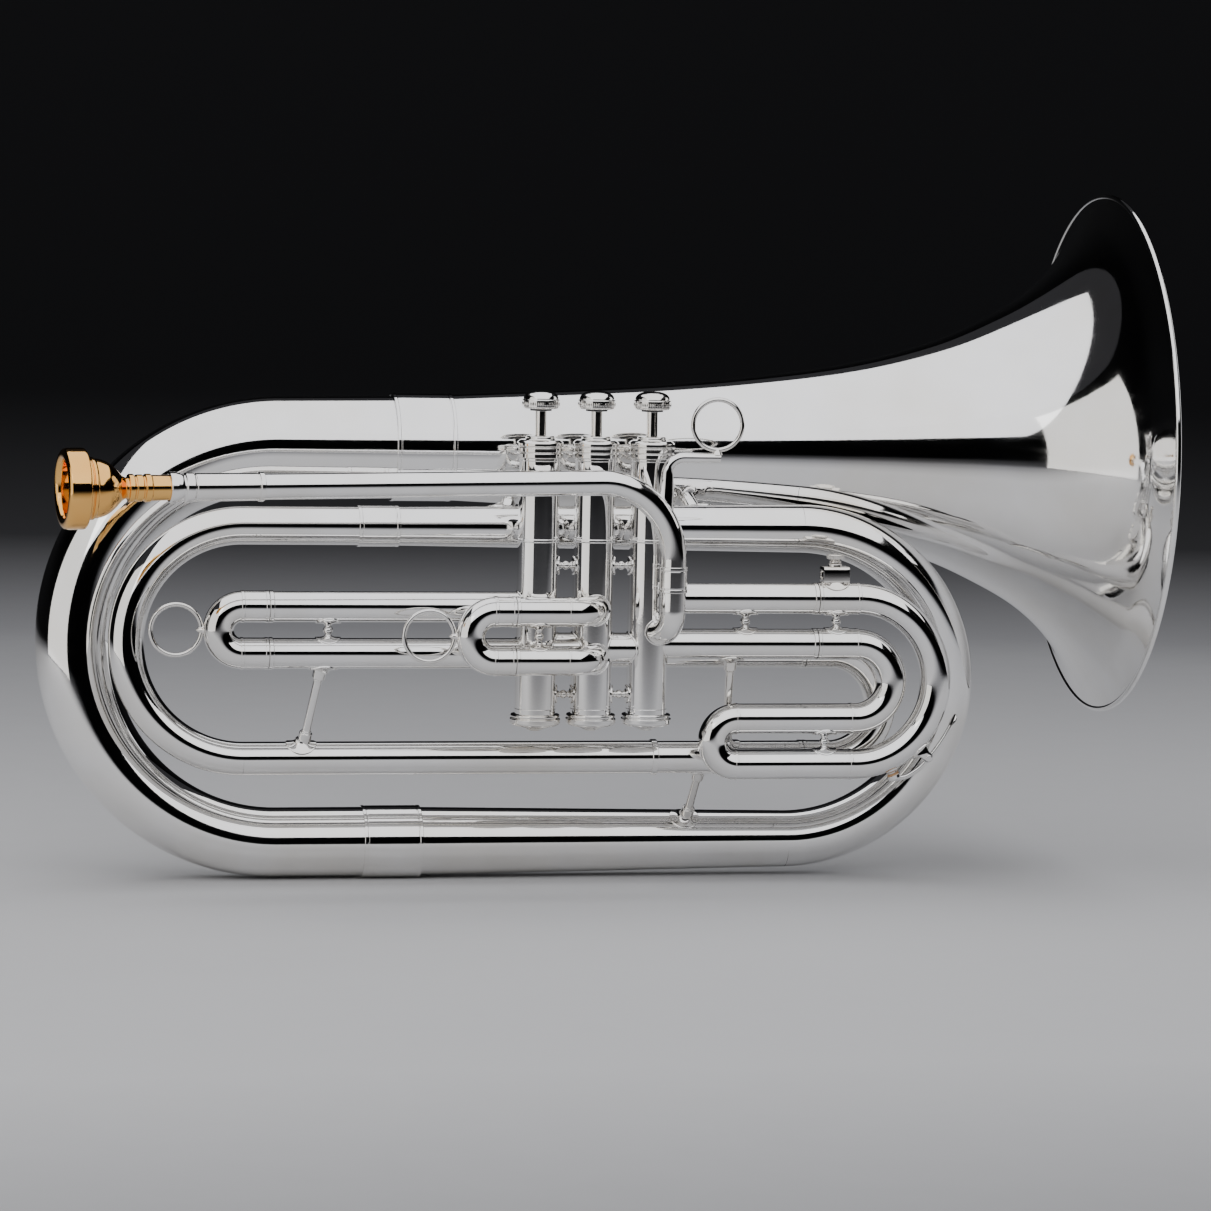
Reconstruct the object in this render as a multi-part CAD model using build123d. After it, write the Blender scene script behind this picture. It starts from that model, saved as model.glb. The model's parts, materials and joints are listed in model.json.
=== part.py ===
from build123d import *
import math
import os

# Marching baritone horn. Millimetres, +Z up towards the finger buttons, +X towards the bell,
# +Y away from the leadpipe. The origin is on the axis of the second valve, half way up its casing.

# ---- valves ----
VALVE_PITCH = 27.3
VALVE_X = [-VALVE_PITCH, 0.0, VALVE_PITCH]
CASING_R = 9.9
CASING_BORE_R = 8.8
CASING_TOP, CASING_BOTTOM = 60.9, -62.9
NECK_R = 9.4
NECK_LENGTH, LOWER_NECK_LENGTH = 6.0, 4.4
CASING_RING_Z = 21.3
PISTON_R = 8.75
PISTON_TOP, PISTON_BOTTOM = 22.0, -50.0
BARREL_TOP = 56.0
BARREL_R, BARREL_BORE_R = 8.0, 7.2
GUIDE_Z, GUIDE_HEIGHT, GUIDE_WIDTH = 24.0, 3.0, 4.0
PISTON_STROKE = 11.6
STEM_R = 2.75
TOP_CAP_R, TOP_CAP_HEIGHT = 11.2, 8.6
COLLAR_R, COLLAR_TOP = 7.2, 71.4
BOTTOM_CAP_R = 12.2
BUTTON_R, BUTTON_BOTTOM, BUTTON_TOP = 9.1, 84.4, 93.1
SPOOL_LEVELS = (9.0, -53.4)
KNUCKLE_Z = -31.0

# ---- tubing sections ----
SLIDE_R, SLIDE_BORE_R = 7.35, 6.9
INNER_R, INNER_BORE_R = 6.85, 6.35
MAIN_R, MAIN_BORE_R = 7.9, 7.4
MAIN_INNER_R, MAIN_INNER_BORE_R = 7.35, 6.85
PORT_R = 6.35
WALL = 0.7
SLEEVE_GAP = 0.05

# ---- first, second and third valve slides ----
SLIDE1_Z = (-11.3, -33.7)
SLIDE1_END, SLIDE1_FERRULE = -157.0, -169.8
SLIDE2_Y, SLIDE2_Z = -18.0, (-11.9, -35.4)
SLIDE2_END, SLIDE2_FERRULE = -40.9, -50.7
SLIDE2_ELBOW = 14.5
SLIDE3_Z = (-6.8, -29.0)
SLIDE3_END, SLIDE3_BEND_X = 111.0, 131.3
SLIDE3_RETURN_Z = (-87.9, -65.5)
SLIDE3_CROOK_X = 72.0
PULL_RING_R, PULL_WIRE_R = 12.1, 1.1

# ---- main tuning slide ----
MAIN_Y = 18.0
MAIN_Z = (-34.4, -86.4)
MAIN_END, MAIN_BEND_X = 109.4, 122.5
MAIN_ELBOW = 14.0

# ---- branches and bows: (Y, Z) of each straight run ----
LOWER_YZ = (MAIN_Y, MAIN_Z[1])
MIDDLE_YZ = (28.0, 25.2)
BOTTOM_YZ = (48.0, -131.3)
BELL_YZ = (66.0, 61.4)
INNER_BOW_X, RIGHT_BOW_X, OUTER_BOW_X = -166.6, 108.5, -147.3
LOWER_JOINT_X, MIDDLE_JOINT_X, BOTTOM_JOINT_X, BELL_JOINT_X = 35.0, -101.2, -89.8, -75.2
LOWER_R, MIDDLE_START_R, MIDDLE_END_R = 8.1, 9.2, 11.8
RIGHT_BOW_END_R, BOTTOM_END_R = 14.0, 16.9
OUTER_BOW_MID_R, OUTER_BOW_END_R = 19.2, 25.4
BELL_STATIONS = [(-75.2, 25.4), (35, 31.2), (90, 36.2), (142, 43.8), (183, 54.8),
                 (210, 66.6), (232, 79.2), (250, 94.8), (263, 111.6), (271.5, 129.0)]
FLARE_START = 142.0
RIM_WIRE_R = 1.5

# ---- leadpipe and mouthpiece ----
LEAD_CORNER = Vector(35.3, -20.0, 50.9)
LEAD_SWING, LEAD_DROP = 7.5, 0.5
LEAD_R, LEAD_BORE_R, LEAD_BEND_R = 6.1, 5.4, 37.5
LEAD_JOINT_Z, LEAD_PORT_Z = 4.0, -22.2
LEAD_ELBOW_R = 11.0
MOUTHPIECE_X = -261.0
RECEIVER_START, RECEIVER_END = 50.4, 95.4

# ---- finger hook, lyre holder and water key ----
HOOK_BASE = (31.5, -18.5, 40.0)
HOOK_TOP_Z, HOOK_END_X, HOOK_R = 62.5, 57.2, 3.1
LYRE_X, LYRE_BORE_Z, LYRE_BORE_R = 119.8, 4.9, 2.6
KEY_PIVOT_ANGLE, KEY_CORK_ANGLE, KEY_TIP_ANGLE = -45.0, -66.0, -20.0
KEY_PIVOT_R = 52.6

BASE = (Align.CENTER, Align.CENTER, Align.MIN)


def rod(start, end, radius, end_radius=None):
    """A solid round bar, or a cone when the end radius differs."""
    start, end = Vector(start), Vector(end)
    place = Plane(origin=start, z_dir=end - start)
    length = (end - start).length
    if end_radius is None or abs(end_radius - radius) < 1e-6:
        return place * Cylinder(radius, length, align=BASE)
    return place * Cone(radius, end_radius, length, align=BASE)


def tube(start, end, radius, bore_radius, end_radius=None, end_bore_radius=None):
    """A straight hollow tube, tapered when end radii are given."""
    return rod(start, end, radius, end_radius) - rod(start, end, bore_radius, end_bore_radius)


def swept_tube(path, radius, bore_radius):
    """A tube of one section along a path of lines and arcs."""
    start = Plane(origin=path @ 0, z_dir=path % 0)
    section = start * (Circle(radius) - Circle(bore_radius))
    return sweep(section, path=path)


def half_turn(start, end, outward):
    """A half circle between two points that bulges towards outward."""
    start, end = Vector(start), Vector(end)
    middle = (start + end) * 0.5 + Vector(outward) * ((end - start).length / 2)
    return ThreePointArc(start, middle, end)


def tapered_bow(start, end, outward, radii, wall):
    """A half-circle bow whose radius grows through the given values."""
    path = half_turn(start, end, outward)
    normal = Vector(outward).cross(Vector(end) - Vector(start))

    def skin(inset):
        steps = [i / (len(radii) - 1) for i in range(len(radii))]
        rings = [Plane(origin=path @ t, x_dir=normal, z_dir=path % t) * Circle(r - inset)
                 for t, r in zip(steps, radii)]
        return sweep(rings, path=path, multisection=True)

    return skin(0) - skin(wall)


def turned(outline, origin, direction):
    """A body of revolution. The outline lies in a plane of distance along the axis and radius."""
    direction = Vector(direction).normalized()
    side = direction.cross(Vector(0, 1, 0.001))
    place = Plane(origin=origin, x_dir=direction, z_dir=direction.cross(side))
    return revolve(place * make_face(outline), axis=Axis(origin, direction))


def ring(centre, normal, radius, wire):
    """A closed wire ring."""
    return Plane(origin=centre, z_dir=normal) * Torus(radius, wire)


def spool(start, end, end_radius, waist_radius):
    """A double-cone post with a small bead at its waist."""
    start, end = Vector(start), Vector(end)
    middle = (start + end) * 0.5
    along = (end - start).normalized()
    bead = rod(middle - along * 0.8, middle + along * 0.8, waist_radius + 0.8)
    return rod(start, middle, end_radius, waist_radius) + rod(middle, end, waist_radius, end_radius) + bead


def brace(start, start_tube_r, end, end_tube_r, post_r, pad_r):
    """A post between two tubes that run along X, with ferrules and saddle pads at both ends."""
    start, end = Vector(start), Vector(end)
    along = (end - start).normalized()
    post = rod(start, end, post_r)
    for centre, inward, tube_r in ((start, along, start_tube_r), (end, along * -1, end_tube_r)):
        post += rod(centre, centre + inward * (tube_r + 6.0), post_r * 1.6)
        pad = rod(centre, centre + inward * (tube_r + 4.0), pad_r)
        post += pad & rod(centre - Vector(40, 0, 0), centre + Vector(40, 0, 0), tube_r + 1.0)
    for centre, tube_r in ((start, start_tube_r), (end, end_tube_r)):
        post -= rod(centre - Vector(60, 0, 0), centre + Vector(60, 0, 0), tube_r)
    return post


def largest(shape):
    """The biggest solid of a cut shape, without the slivers a cut leaves inside a tube."""
    return shape.solids().sort_by(SortBy.VOLUME)[-1]


def group(*solids):
    """Separate pieces kept in one node."""
    return Compound(children=[s for part in solids for s in part.solids()])


# ---------------------------------------------------------------- valves

def valve_ports(index):
    """Where tubes enter a valve: (direction of the tube, height)."""
    lead_side = LEAD_CORNER - Vector(VALVE_X[2], 0, LEAD_CORNER.Z)
    ports = {
        0: [((-1, 0, 0), SLIDE1_Z[0]), ((-1, 0, 0), SLIDE1_Z[1]), ((1, 0, 0), KNUCKLE_Z),
            ((0, 1, 0), MAIN_Z[0])],
        1: [((-1, 0, 0), KNUCKLE_Z), ((1, 0, 0), KNUCKLE_Z), ((0, -1, 0), SLIDE2_Z[0]),
            ((0, -1, 0), SLIDE2_Z[1])],
        2: [((-1, 0, 0), KNUCKLE_Z), ((1, 0, 0), SLIDE3_Z[0]), ((1, 0, 0), SLIDE3_Z[1]),
            (tuple(lead_side), LEAD_PORT_Z)],
    }
    return ports[index]


def valve_casing(index):
    x = VALVE_X[index]
    body = Pos(x, 0, CASING_BOTTOM) * Cylinder(CASING_R, CASING_TOP - CASING_BOTTOM, align=BASE)
    neck_height = CASING_TOP - CASING_BOTTOM + NECK_LENGTH + LOWER_NECK_LENGTH
    body += Pos(x, 0, CASING_BOTTOM - LOWER_NECK_LENGTH) * Cylinder(NECK_R, neck_height, align=BASE)
    body += Pos(x, 0, CASING_RING_Z) * Cylinder(CASING_R + 0.5, 1.2)
    body -= Pos(x, 0, 0) * Cylinder(CASING_BORE_R, 2 * neck_height)
    for direction, z in valve_ports(index):
        outward = Vector(direction).normalized() * (2 * CASING_R)
        centre = Vector(x, 0, z)
        body -= rod(centre, centre + outward, PORT_R)
    return body


def piston(index):
    """The piston with its port pockets, and the slotted spring barrel above it."""
    x = VALVE_X[index]
    body = Pos(x, 0, PISTON_BOTTOM) * Cylinder(PISTON_R, PISTON_TOP - PISTON_BOTTOM, align=BASE)
    pocket_depth = 4.5
    for direction, z in valve_ports(index):
        unit = Vector(direction).normalized()
        centre = Vector(x, 0, z)
        inner = centre + unit * (PISTON_R - pocket_depth)
        body -= rod(inner, centre + unit * (2 * PISTON_R), PORT_R - 0.2)
    barrel_height = BARREL_TOP - PISTON_TOP
    barrel = Pos(x, 0, PISTON_TOP) * Cylinder(BARREL_R, barrel_height, align=BASE)
    barrel -= Pos(x, 0, PISTON_TOP) * Cylinder(BARREL_BORE_R, barrel_height - 2.0, align=BASE)
    slot_bottom = GUIDE_Z - 0.4
    slot_height = GUIDE_HEIGHT + PISTON_STROKE + 1.2
    barrel -= Pos(x, 0, slot_bottom) * Box(4 * BARREL_R, GUIDE_WIDTH + 0.5, slot_height, align=BASE)
    return body + barrel


def valve_guide(x):
    """The cross bar that keeps the piston from turning and that its spring stands on."""
    bar = Pos(x, 0, GUIDE_Z) * Box(4 * BARREL_R, GUIDE_WIDTH, GUIDE_HEIGHT, align=BASE)
    return bar & Pos(x, 0, GUIDE_Z) * Cylinder(CASING_BORE_R - SLEEVE_GAP, GUIDE_HEIGHT, align=BASE)


def valve_spring(x):
    """A compression spring between the guide and the top of the barrel."""
    wire_r, coil_r, pitch = 0.45, 5.4, 3.2
    height = BARREL_TOP - 2.0 - GUIDE_Z - GUIDE_HEIGHT - 2 * wire_r - 0.6
    coil = Pos(x, 0, GUIDE_Z + GUIDE_HEIGHT + wire_r + 0.3) * Helix(pitch, height, coil_r)
    section = Plane(origin=coil @ 0, z_dir=coil % 0) * Circle(wire_r)
    return sweep(section, path=coil, is_frenet=True)


def finger_button(x):
    """The stem and the domed finger button on its end."""
    stem = Pos(x, 0, BARREL_TOP) * Cylinder(STEM_R, BUTTON_BOTTOM - BARREL_TOP, align=BASE)
    dome_height, band_height = 3.2, 4.6
    band = Pos(x, 0, BUTTON_BOTTOM) * Cylinder(BUTTON_R, band_height, align=BASE)
    crown_base = BUTTON_BOTTOM + band_height
    crown = Pos(x, 0, crown_base) * Cylinder(BUTTON_R - 0.4, BUTTON_TOP - crown_base, align=BASE)
    crown = fillet(crown.edges().group_by(Axis.Z)[-1], dome_height)
    return group(stem, band + crown)


def piston_felts(x):
    """Felt washers above the barrel and under the finger button."""
    lower = Pos(x, 0, BARREL_TOP) * (Cylinder(6.5, 3.4, align=BASE) - Cylinder(STEM_R + 0.05, 8, align=BASE))
    upper = Pos(x, 0, BUTTON_BOTTOM - 1.0)
    upper *= Cylinder(5.2, 1.0, align=BASE) - Cylinder(STEM_R + 0.05, 1.0, align=BASE)
    return group(lower, upper)


def top_cap(x):
    """The screwed top cap: skirt, turned groove, knurled band and raised collar."""
    base = CASING_TOP
    top = base + TOP_CAP_HEIGHT
    body = Pos(x, 0, base) * Cylinder(TOP_CAP_R - 0.5, TOP_CAP_HEIGHT, align=BASE)
    body += Pos(x, 0, base) * Cylinder(TOP_CAP_R, 2.4, align=BASE)
    body += Pos(x, 0, base + 5.2) * Cylinder(TOP_CAP_R, 2.2, align=BASE)
    body += Pos(x, 0, top) * Cylinder(COLLAR_R, COLLAR_TOP - top, align=BASE)
    body -= Pos(x, 0, base) * Cylinder(NECK_R + SLEEVE_GAP, NECK_LENGTH, align=BASE)
    return body - Pos(x, 0, base) * Cylinder(STEM_R + 0.05, 20, align=BASE)


def bottom_cap(x):
    """The screwed bottom cap: flange, knurled band and shallow dome."""
    flange, band = CASING_BOTTOM - 1.8, CASING_BOTTOM - 4.6
    shoulder, crown = CASING_BOTTOM - 5.8, CASING_BOTTOM - 6.9
    crown_r, crown_height = 5.2, 1.3
    dome_r = (crown_r ** 2 + crown_height ** 2) / (2 * crown_height)
    body = rod((x, 0, CASING_BOTTOM), (x, 0, flange), BOTTOM_CAP_R - 0.5)
    body += rod((x, 0, flange), (x, 0, band), BOTTOM_CAP_R)
    body += rod((x, 0, band), (x, 0, shoulder), BOTTOM_CAP_R, BOTTOM_CAP_R - 1.6)
    body += rod((x, 0, shoulder), (x, 0, crown), BOTTOM_CAP_R - 1.6, crown_r)
    ball = Pos(x, 0, crown - crown_height + dome_r) * Sphere(dome_r)
    body += ball & rod((x, 0, crown + 0.5), (x, 0, crown - 2 * crown_height), crown_r)
    return body - Pos(x, 0, CASING_BOTTOM) * Cylinder(NECK_R + SLEEVE_GAP, 2 * LOWER_NECK_LENGTH)


def knuckles():
    """The short ports that join neighbouring casings."""
    pieces = []
    for left, right in zip(VALVE_X, VALVE_X[1:]):
        piece = tube((left, 0, KNUCKLE_Z), (right, 0, KNUCKLE_Z), SLIDE_R, PORT_R)
        for x in (left, right):
            piece -= Pos(x, 0, KNUCKLE_Z) * Cylinder(CASING_R, 4 * SLIDE_R)
        pieces.append(piece)
    return group(*pieces)


def knuckle_space():
    """The bar through all three casings that the knuckles are cut from."""
    return rod((VALVE_X[0], 0, KNUCKLE_Z), (VALVE_X[2], 0, KNUCKLE_Z), SLIDE_R)


def casing_spools():
    pieces = []
    for left, right in zip(VALVE_X, VALVE_X[1:]):
        for z in SPOOL_LEVELS:
            piece = spool((left + CASING_R - 0.6, 0, z), (right - CASING_R + 0.6, 0, z), 4.1, 1.3)
            for x in (left, right):
                piece -= Pos(x, 0, z) * Cylinder(CASING_R, 20)
            pieces.append(piece)
    return group(*pieces)


# ---------------------------------------------------------------- bell and bows

def on(yz, x):
    """The point of a straight run, given as its (Y, Z), at the given X."""
    return Vector(x, yz[0], yz[1])


def bell_section():
    """Half of the bell sheet's section, as a face with X along the bell and Y its radius."""
    slopes = []
    for i, (x, r) in enumerate(BELL_STATIONS):
        before = BELL_STATIONS[max(i - 1, 0)]
        after = BELL_STATIONS[min(i + 1, len(BELL_STATIONS) - 1)]
        slopes.append((after[1] - before[1]) / (after[0] - before[0]))
    inner = [(x, r - WALL * math.hypot(1, s)) for (x, r), s in zip(BELL_STATIONS, slopes)]
    outline = Spline(*BELL_STATIONS) + Line(BELL_STATIONS[-1], inner[-1])
    outline += Spline(*inner) + Line(inner[0], BELL_STATIONS[0])
    return make_face(outline)


def about_bell(section):
    """A section turned round the bell's axis."""
    place = Plane(origin=on(BELL_YZ, 0), x_dir=(1, 0, 0), z_dir=(0, -1, 0))
    return revolve(place * section, axis=Axis(on(BELL_YZ, 0), (1, 0, 0)))


def bell_stem():
    """The conical stem, up to the seam where the flare is brazed on."""
    behind_seam = Pos(FLARE_START, 0) * Rectangle(1000, 1000, align=(Align.MAX, Align.CENTER))
    return about_bell(bell_section() & behind_seam)


def bell_flare():
    """The mouth of the bell, from the seam to the rim wire."""
    past_seam = Pos(FLARE_START, 0) * Rectangle(1000, 1000, align=(Align.MIN, Align.CENTER))
    return about_bell(bell_section() & past_seam)


def bell_rim():
    """The rolled wire edge, cut to sit on the sheet."""
    x, r = BELL_STATIONS[-1]
    wire = Pos(x + RIM_WIRE_R * 0.4, r) * Circle(RIM_WIRE_R)
    return about_bell((wire - bell_section()).faces().sort_by(SortBy.AREA)[-1])


def sleeve(start, end, bore_radius, wall):
    """A ferrule over a tube joint."""
    return tube(start, end, bore_radius + SLEEVE_GAP + wall, bore_radius + SLEEVE_GAP)


def outer_bow():
    """The large bow from the bottom branch up to the bell."""
    wall = WALL
    bottom = tube(on(BOTTOM_YZ, BOTTOM_JOINT_X), on(BOTTOM_YZ, OUTER_BOW_X), BOTTOM_END_R,
                  BOTTOM_END_R - wall)
    top = tube(on(BELL_YZ, OUTER_BOW_X), on(BELL_YZ, BELL_JOINT_X), OUTER_BOW_END_R - 1.2,
               OUTER_BOW_END_R - 1.2 - wall, OUTER_BOW_END_R, OUTER_BOW_END_R - wall)
    turn = tapered_bow(on(BOTTOM_YZ, OUTER_BOW_X), on(BELL_YZ, OUTER_BOW_X), (-1, 0, 0),
                       [BOTTOM_END_R, OUTER_BOW_MID_R, OUTER_BOW_END_R - 1.2], wall)
    return bottom + turn + top


def bottom_branch():
    return tube(on(BOTTOM_YZ, RIGHT_BOW_X), on(BOTTOM_YZ, BOTTOM_JOINT_X), RIGHT_BOW_END_R,
                RIGHT_BOW_END_R - WALL, BOTTOM_END_R, BOTTOM_END_R - WALL)


def right_bow():
    return tapered_bow(on(MIDDLE_YZ, RIGHT_BOW_X), on(BOTTOM_YZ, RIGHT_BOW_X), (1, 0, 0),
                       [MIDDLE_END_R, (MIDDLE_END_R + RIGHT_BOW_END_R) / 2, RIGHT_BOW_END_R], WALL)


def middle_branch():
    return tube(on(MIDDLE_YZ, MIDDLE_JOINT_X), on(MIDDLE_YZ, RIGHT_BOW_X), MIDDLE_START_R,
                MIDDLE_START_R - WALL, MIDDLE_END_R, MIDDLE_END_R - WALL)


def inner_bow():
    """The bow behind the mouthpiece end, from the lower branch up to the middle branch."""
    wall = WALL
    turn = tapered_bow(on(LOWER_YZ, INNER_BOW_X), on(MIDDLE_YZ, INNER_BOW_X), (-1, 0, 0),
                       [LOWER_R, (LOWER_R + MIDDLE_START_R) / 2, MIDDLE_START_R], wall)
    top = tube(on(MIDDLE_YZ, INNER_BOW_X), on(MIDDLE_YZ, MIDDLE_JOINT_X), MIDDLE_START_R,
               MIDDLE_START_R - wall)
    return turn + top


def lower_branch():
    return tube(on(LOWER_YZ, INNER_BOW_X), on(LOWER_YZ, LOWER_JOINT_X), LOWER_R, LOWER_R - WALL)


# ---------------------------------------------------------------- slides

def banded_tube(path, radius, bore_radius, bands):
    """A bent tube with ferrule bands. Each band is a centre on the tube's straight runs along X."""
    start = Plane(origin=path @ 0, z_dir=path % 0)
    body = sweep(start * Circle(radius), path=path)
    half_band = Vector(0.8, 0, 0)
    for centre in bands:
        body += rod(Vector(centre) - half_band, Vector(centre) + half_band, radius + 0.45)
    return body - sweep(start * Circle(bore_radius), path=path)


def slide_crook(xs, y, zs, radius, bore_radius, sign):
    """A half-turn crook with its ferrules. xs is (ferrule start, bend start)."""
    start, bend = xs
    high, low = zs
    path = Line((start, y, high), (bend, y, high))
    path += half_turn((bend, y, high), (bend, y, low), (sign, 0, 0))
    path += Line((bend, y, low), (start, y, low))
    bands = [(x, y, z) for x in (start + sign * 0.8, bend) for z in zs]
    return banded_tube(path, radius, bore_radius, bands)


def slide1_outer():
    x_valve = VALVE_X[0]
    legs = []
    for z in SLIDE1_Z:
        leg = tube((SLIDE1_END, 0, z), (x_valve, 0, z), SLIDE_R, SLIDE_BORE_R)
        leg += tube((SLIDE1_END, 0, z), (SLIDE1_END + 1.6, 0, z), SLIDE_R + 0.45, SLIDE_BORE_R)
        legs.append(leg - Pos(x_valve, 0, z) * Cylinder(CASING_R, 4 * SLIDE_R))
    return group(*legs)


def slide1_inner():
    inside = -70.0
    return group(*[tube((SLIDE1_END - 0.3, 0, z), (inside, 0, z), INNER_R, INNER_BORE_R)
                   for z in SLIDE1_Z])


def slide2_outer():
    """The second slide's tubes, in front of the casings, with their elbows back into the valve."""
    legs = []
    for z in SLIDE2_Z:
        path = FilletPolyline((SLIDE2_END, SLIDE2_Y, z), (VALVE_X[1], SLIDE2_Y, z), (VALVE_X[1], -2, z),
                              radius=SLIDE2_ELBOW)
        leg = swept_tube(path, SLIDE_R - 0.3, SLIDE_BORE_R - 0.3)
        leg += tube((SLIDE2_END, SLIDE2_Y, z), (SLIDE2_END + 1.6, SLIDE2_Y, z), SLIDE_R + 0.15,
                    SLIDE_BORE_R - 0.3)
        leg -= Pos(VALVE_X[1], 0, z) * Cylinder(CASING_R, 4 * SLIDE_R)
        legs.append(leg - knuckle_space())
    return group(*legs)


def slide2_inner():
    inside = -17.0
    return group(*[tube((SLIDE2_END - 0.3, SLIDE2_Y, z), (inside, SLIDE2_Y, z), INNER_R - 0.3,
                        INNER_BORE_R - 0.3) for z in SLIDE2_Z])


def slide3_outer():
    x_valve = VALVE_X[2]
    legs = []
    for z in SLIDE3_Z:
        leg = tube((x_valve, 0, z), (SLIDE3_END, 0, z), SLIDE_R, SLIDE_BORE_R)
        leg += tube((SLIDE3_END - 1.6, 0, z), (SLIDE3_END, 0, z), SLIDE_R + 0.45, SLIDE_BORE_R)
        legs.append(leg - Pos(x_valve, 0, z) * Cylinder(CASING_R, 4 * SLIDE_R))
    return group(*legs)


def slide3_inner():
    inside = 50.0
    return group(*[tube((inside, 0, z), (SLIDE3_END + 0.3, 0, z), INNER_R, INNER_BORE_R)
                   for z in SLIDE3_Z])


def slide3_outer_bow():
    """The third slide's large bow and the small crook at the end of its return leg, with spools."""
    start, bend, crook = SLIDE3_END + 0.3, SLIDE3_BEND_X, SLIDE3_CROOK_X
    top, (outer_return, inner_return) = SLIDE3_Z[0], SLIDE3_RETURN_Z
    path = Line((start, 0, top), (bend, 0, top))
    path += half_turn((bend, 0, top), (bend, 0, outer_return), (1, 0, 0))
    path += Line((bend, 0, outer_return), (crook, 0, outer_return))
    path += half_turn((crook, 0, outer_return), (crook, 0, inner_return), (-1, 0, 0))
    bands = [(start + 0.8, 0, top), (bend, 0, top),
             (bend - 2, 0, outer_return), (crook + 0.8, 0, outer_return)]
    body = banded_tube(path, SLIDE_R, INNER_BORE_R, bands)
    return group(body, leg_spool(121.0, 0, SLIDE3_Z, SLIDE_R), leg_spool(116.5, 0, SLIDE3_RETURN_Z, SLIDE_R))


def slide3_inner_bow():
    """The small bow inside the large one, from the crook back to the lower leg."""
    start, bend, crook = SLIDE3_END + 0.3, SLIDE3_BEND_X, SLIDE3_CROOK_X
    top, inner_return = SLIDE3_Z[1], SLIDE3_RETURN_Z[1]
    path = Line((crook, 0, inner_return), (bend, 0, inner_return))
    path += half_turn((bend, 0, inner_return), (bend, 0, top), (1, 0, 0))
    path += Line((bend, 0, top), (start, 0, top))
    bands = [(start + 0.8, 0, top), (bend, 0, top),
             (bend - 2, 0, inner_return), (crook + 0.8, 0, inner_return)]
    return banded_tube(path, SLIDE_R, INNER_BORE_R, bands)


def leg_spool(x, y, zs, tube_r):
    """A spool between two parallel legs of a slide."""
    top, bottom = max(zs), min(zs)
    piece = spool((x, y, bottom + tube_r - 0.7), (x, y, top - tube_r + 0.7), 3.9, 1.5)
    for z in zs:
        piece -= rod((x - 20, y, z), (x + 20, y, z), tube_r)
    return piece


def pull_ring(tip_x, y, zs, crook_bend_x, tube_r, sign):
    """The finger ring soldered to the middle of a crook."""
    centre_z = sum(zs) / 2
    centre = (tip_x + sign * (PULL_RING_R + PULL_WIRE_R - 0.5), y, centre_z)
    piece = ring(centre, (0, 1, 0), PULL_RING_R, PULL_WIRE_R)
    path = half_turn((crook_bend_x, y, zs[0]), (crook_bend_x, y, zs[1]), (sign, 0, 0))
    return piece - swept_tube(path, tube_r, tube_r - 2.0)


def main_upper():
    """The tube from the first valve, behind the others, to the main tuning slide."""
    z = MAIN_Z[0]
    path = FilletPolyline((VALVE_X[0], 2, z), (VALVE_X[0], MAIN_Y, z), (MAIN_END, MAIN_Y, z),
                          radius=MAIN_ELBOW)
    body = swept_tube(path, MAIN_R, MAIN_BORE_R)
    body += tube((MAIN_END - 1.6, MAIN_Y, z), (MAIN_END, MAIN_Y, z), MAIN_R + 0.45, MAIN_BORE_R)
    body -= rod((VALVE_X[0], 0, SLIDE1_Z[1]), (SLIDE1_END, 0, SLIDE1_Z[1]), SLIDE_R)
    return body - Pos(VALVE_X[0], 0, z) * Cylinder(CASING_R, 4 * MAIN_R) - knuckle_space()


def main_lower():
    z = MAIN_Z[1]
    body = tube((LOWER_JOINT_X, MAIN_Y, z), (MAIN_END, MAIN_Y, z), MAIN_R, MAIN_BORE_R)
    return body + tube((MAIN_END - 1.6, MAIN_Y, z), (MAIN_END, MAIN_Y, z), MAIN_R + 0.45, MAIN_BORE_R)


def main_inner():
    inside = 62.0
    return group(*[tube((inside, MAIN_Y, z), (MAIN_END + 0.3, MAIN_Y, z), MAIN_INNER_R, MAIN_INNER_BORE_R)
                   for z in MAIN_Z])


# ---------------------------------------------------------------- leadpipe

def lead_direction():
    """Unit vector along the leadpipe, from the mouthpiece towards the bend."""
    swing, drop = math.radians(LEAD_SWING), math.radians(LEAD_DROP)
    return Vector(math.cos(swing) * math.cos(drop), math.sin(swing) * math.cos(drop), math.sin(drop))


def lead_point(distance):
    """The point on the leadpipe's axis at a distance behind the mouthpiece's rim."""
    along = lead_direction()
    rim = LEAD_CORNER - along * ((LEAD_CORNER.X - MOUTHPIECE_X) / along.X)
    return rim + along * distance


def mouthpiece():
    outline = ThreePointArc((1.5, 12.9), (0, 15.6), (3.0, 18.9))
    outline += Polyline((3.0, 18.9), (10.2, 18.9), (10.8, 18.3), (10.8, 14.6), (12.4, 14.6), (12.8, 14.2),
                        (13.2, 14.6), (14.6, 14.6), (14.9, 13.9))
    outline += Spline((14.9, 13.9), (20.5, 12.6), (25.0, 9.4), (28.0, 5.9), (30.6, 4.8))
    outline += Polyline((30.6, 4.8), (31.2, 6.6), (33.6, 6.6), (34.0, 5.9), (34.6, 5.9), (35.0, 6.3),
                        (37.6, 6.3), (38.0, 5.9), (38.6, 5.9), (39.0, 6.6), (41.6, 6.6), (42.0, 6.05),
                        (76.0, 5.3), (76.0, 4.4), (32.0, 3.3), (27.0, 3.3))
    outline += Spline((27.0, 3.3), (22.0, 5.8), (15.0, 10.2), (7.0, 12.5), (1.5, 12.9))
    return turned(outline, lead_point(0), lead_direction())


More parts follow.
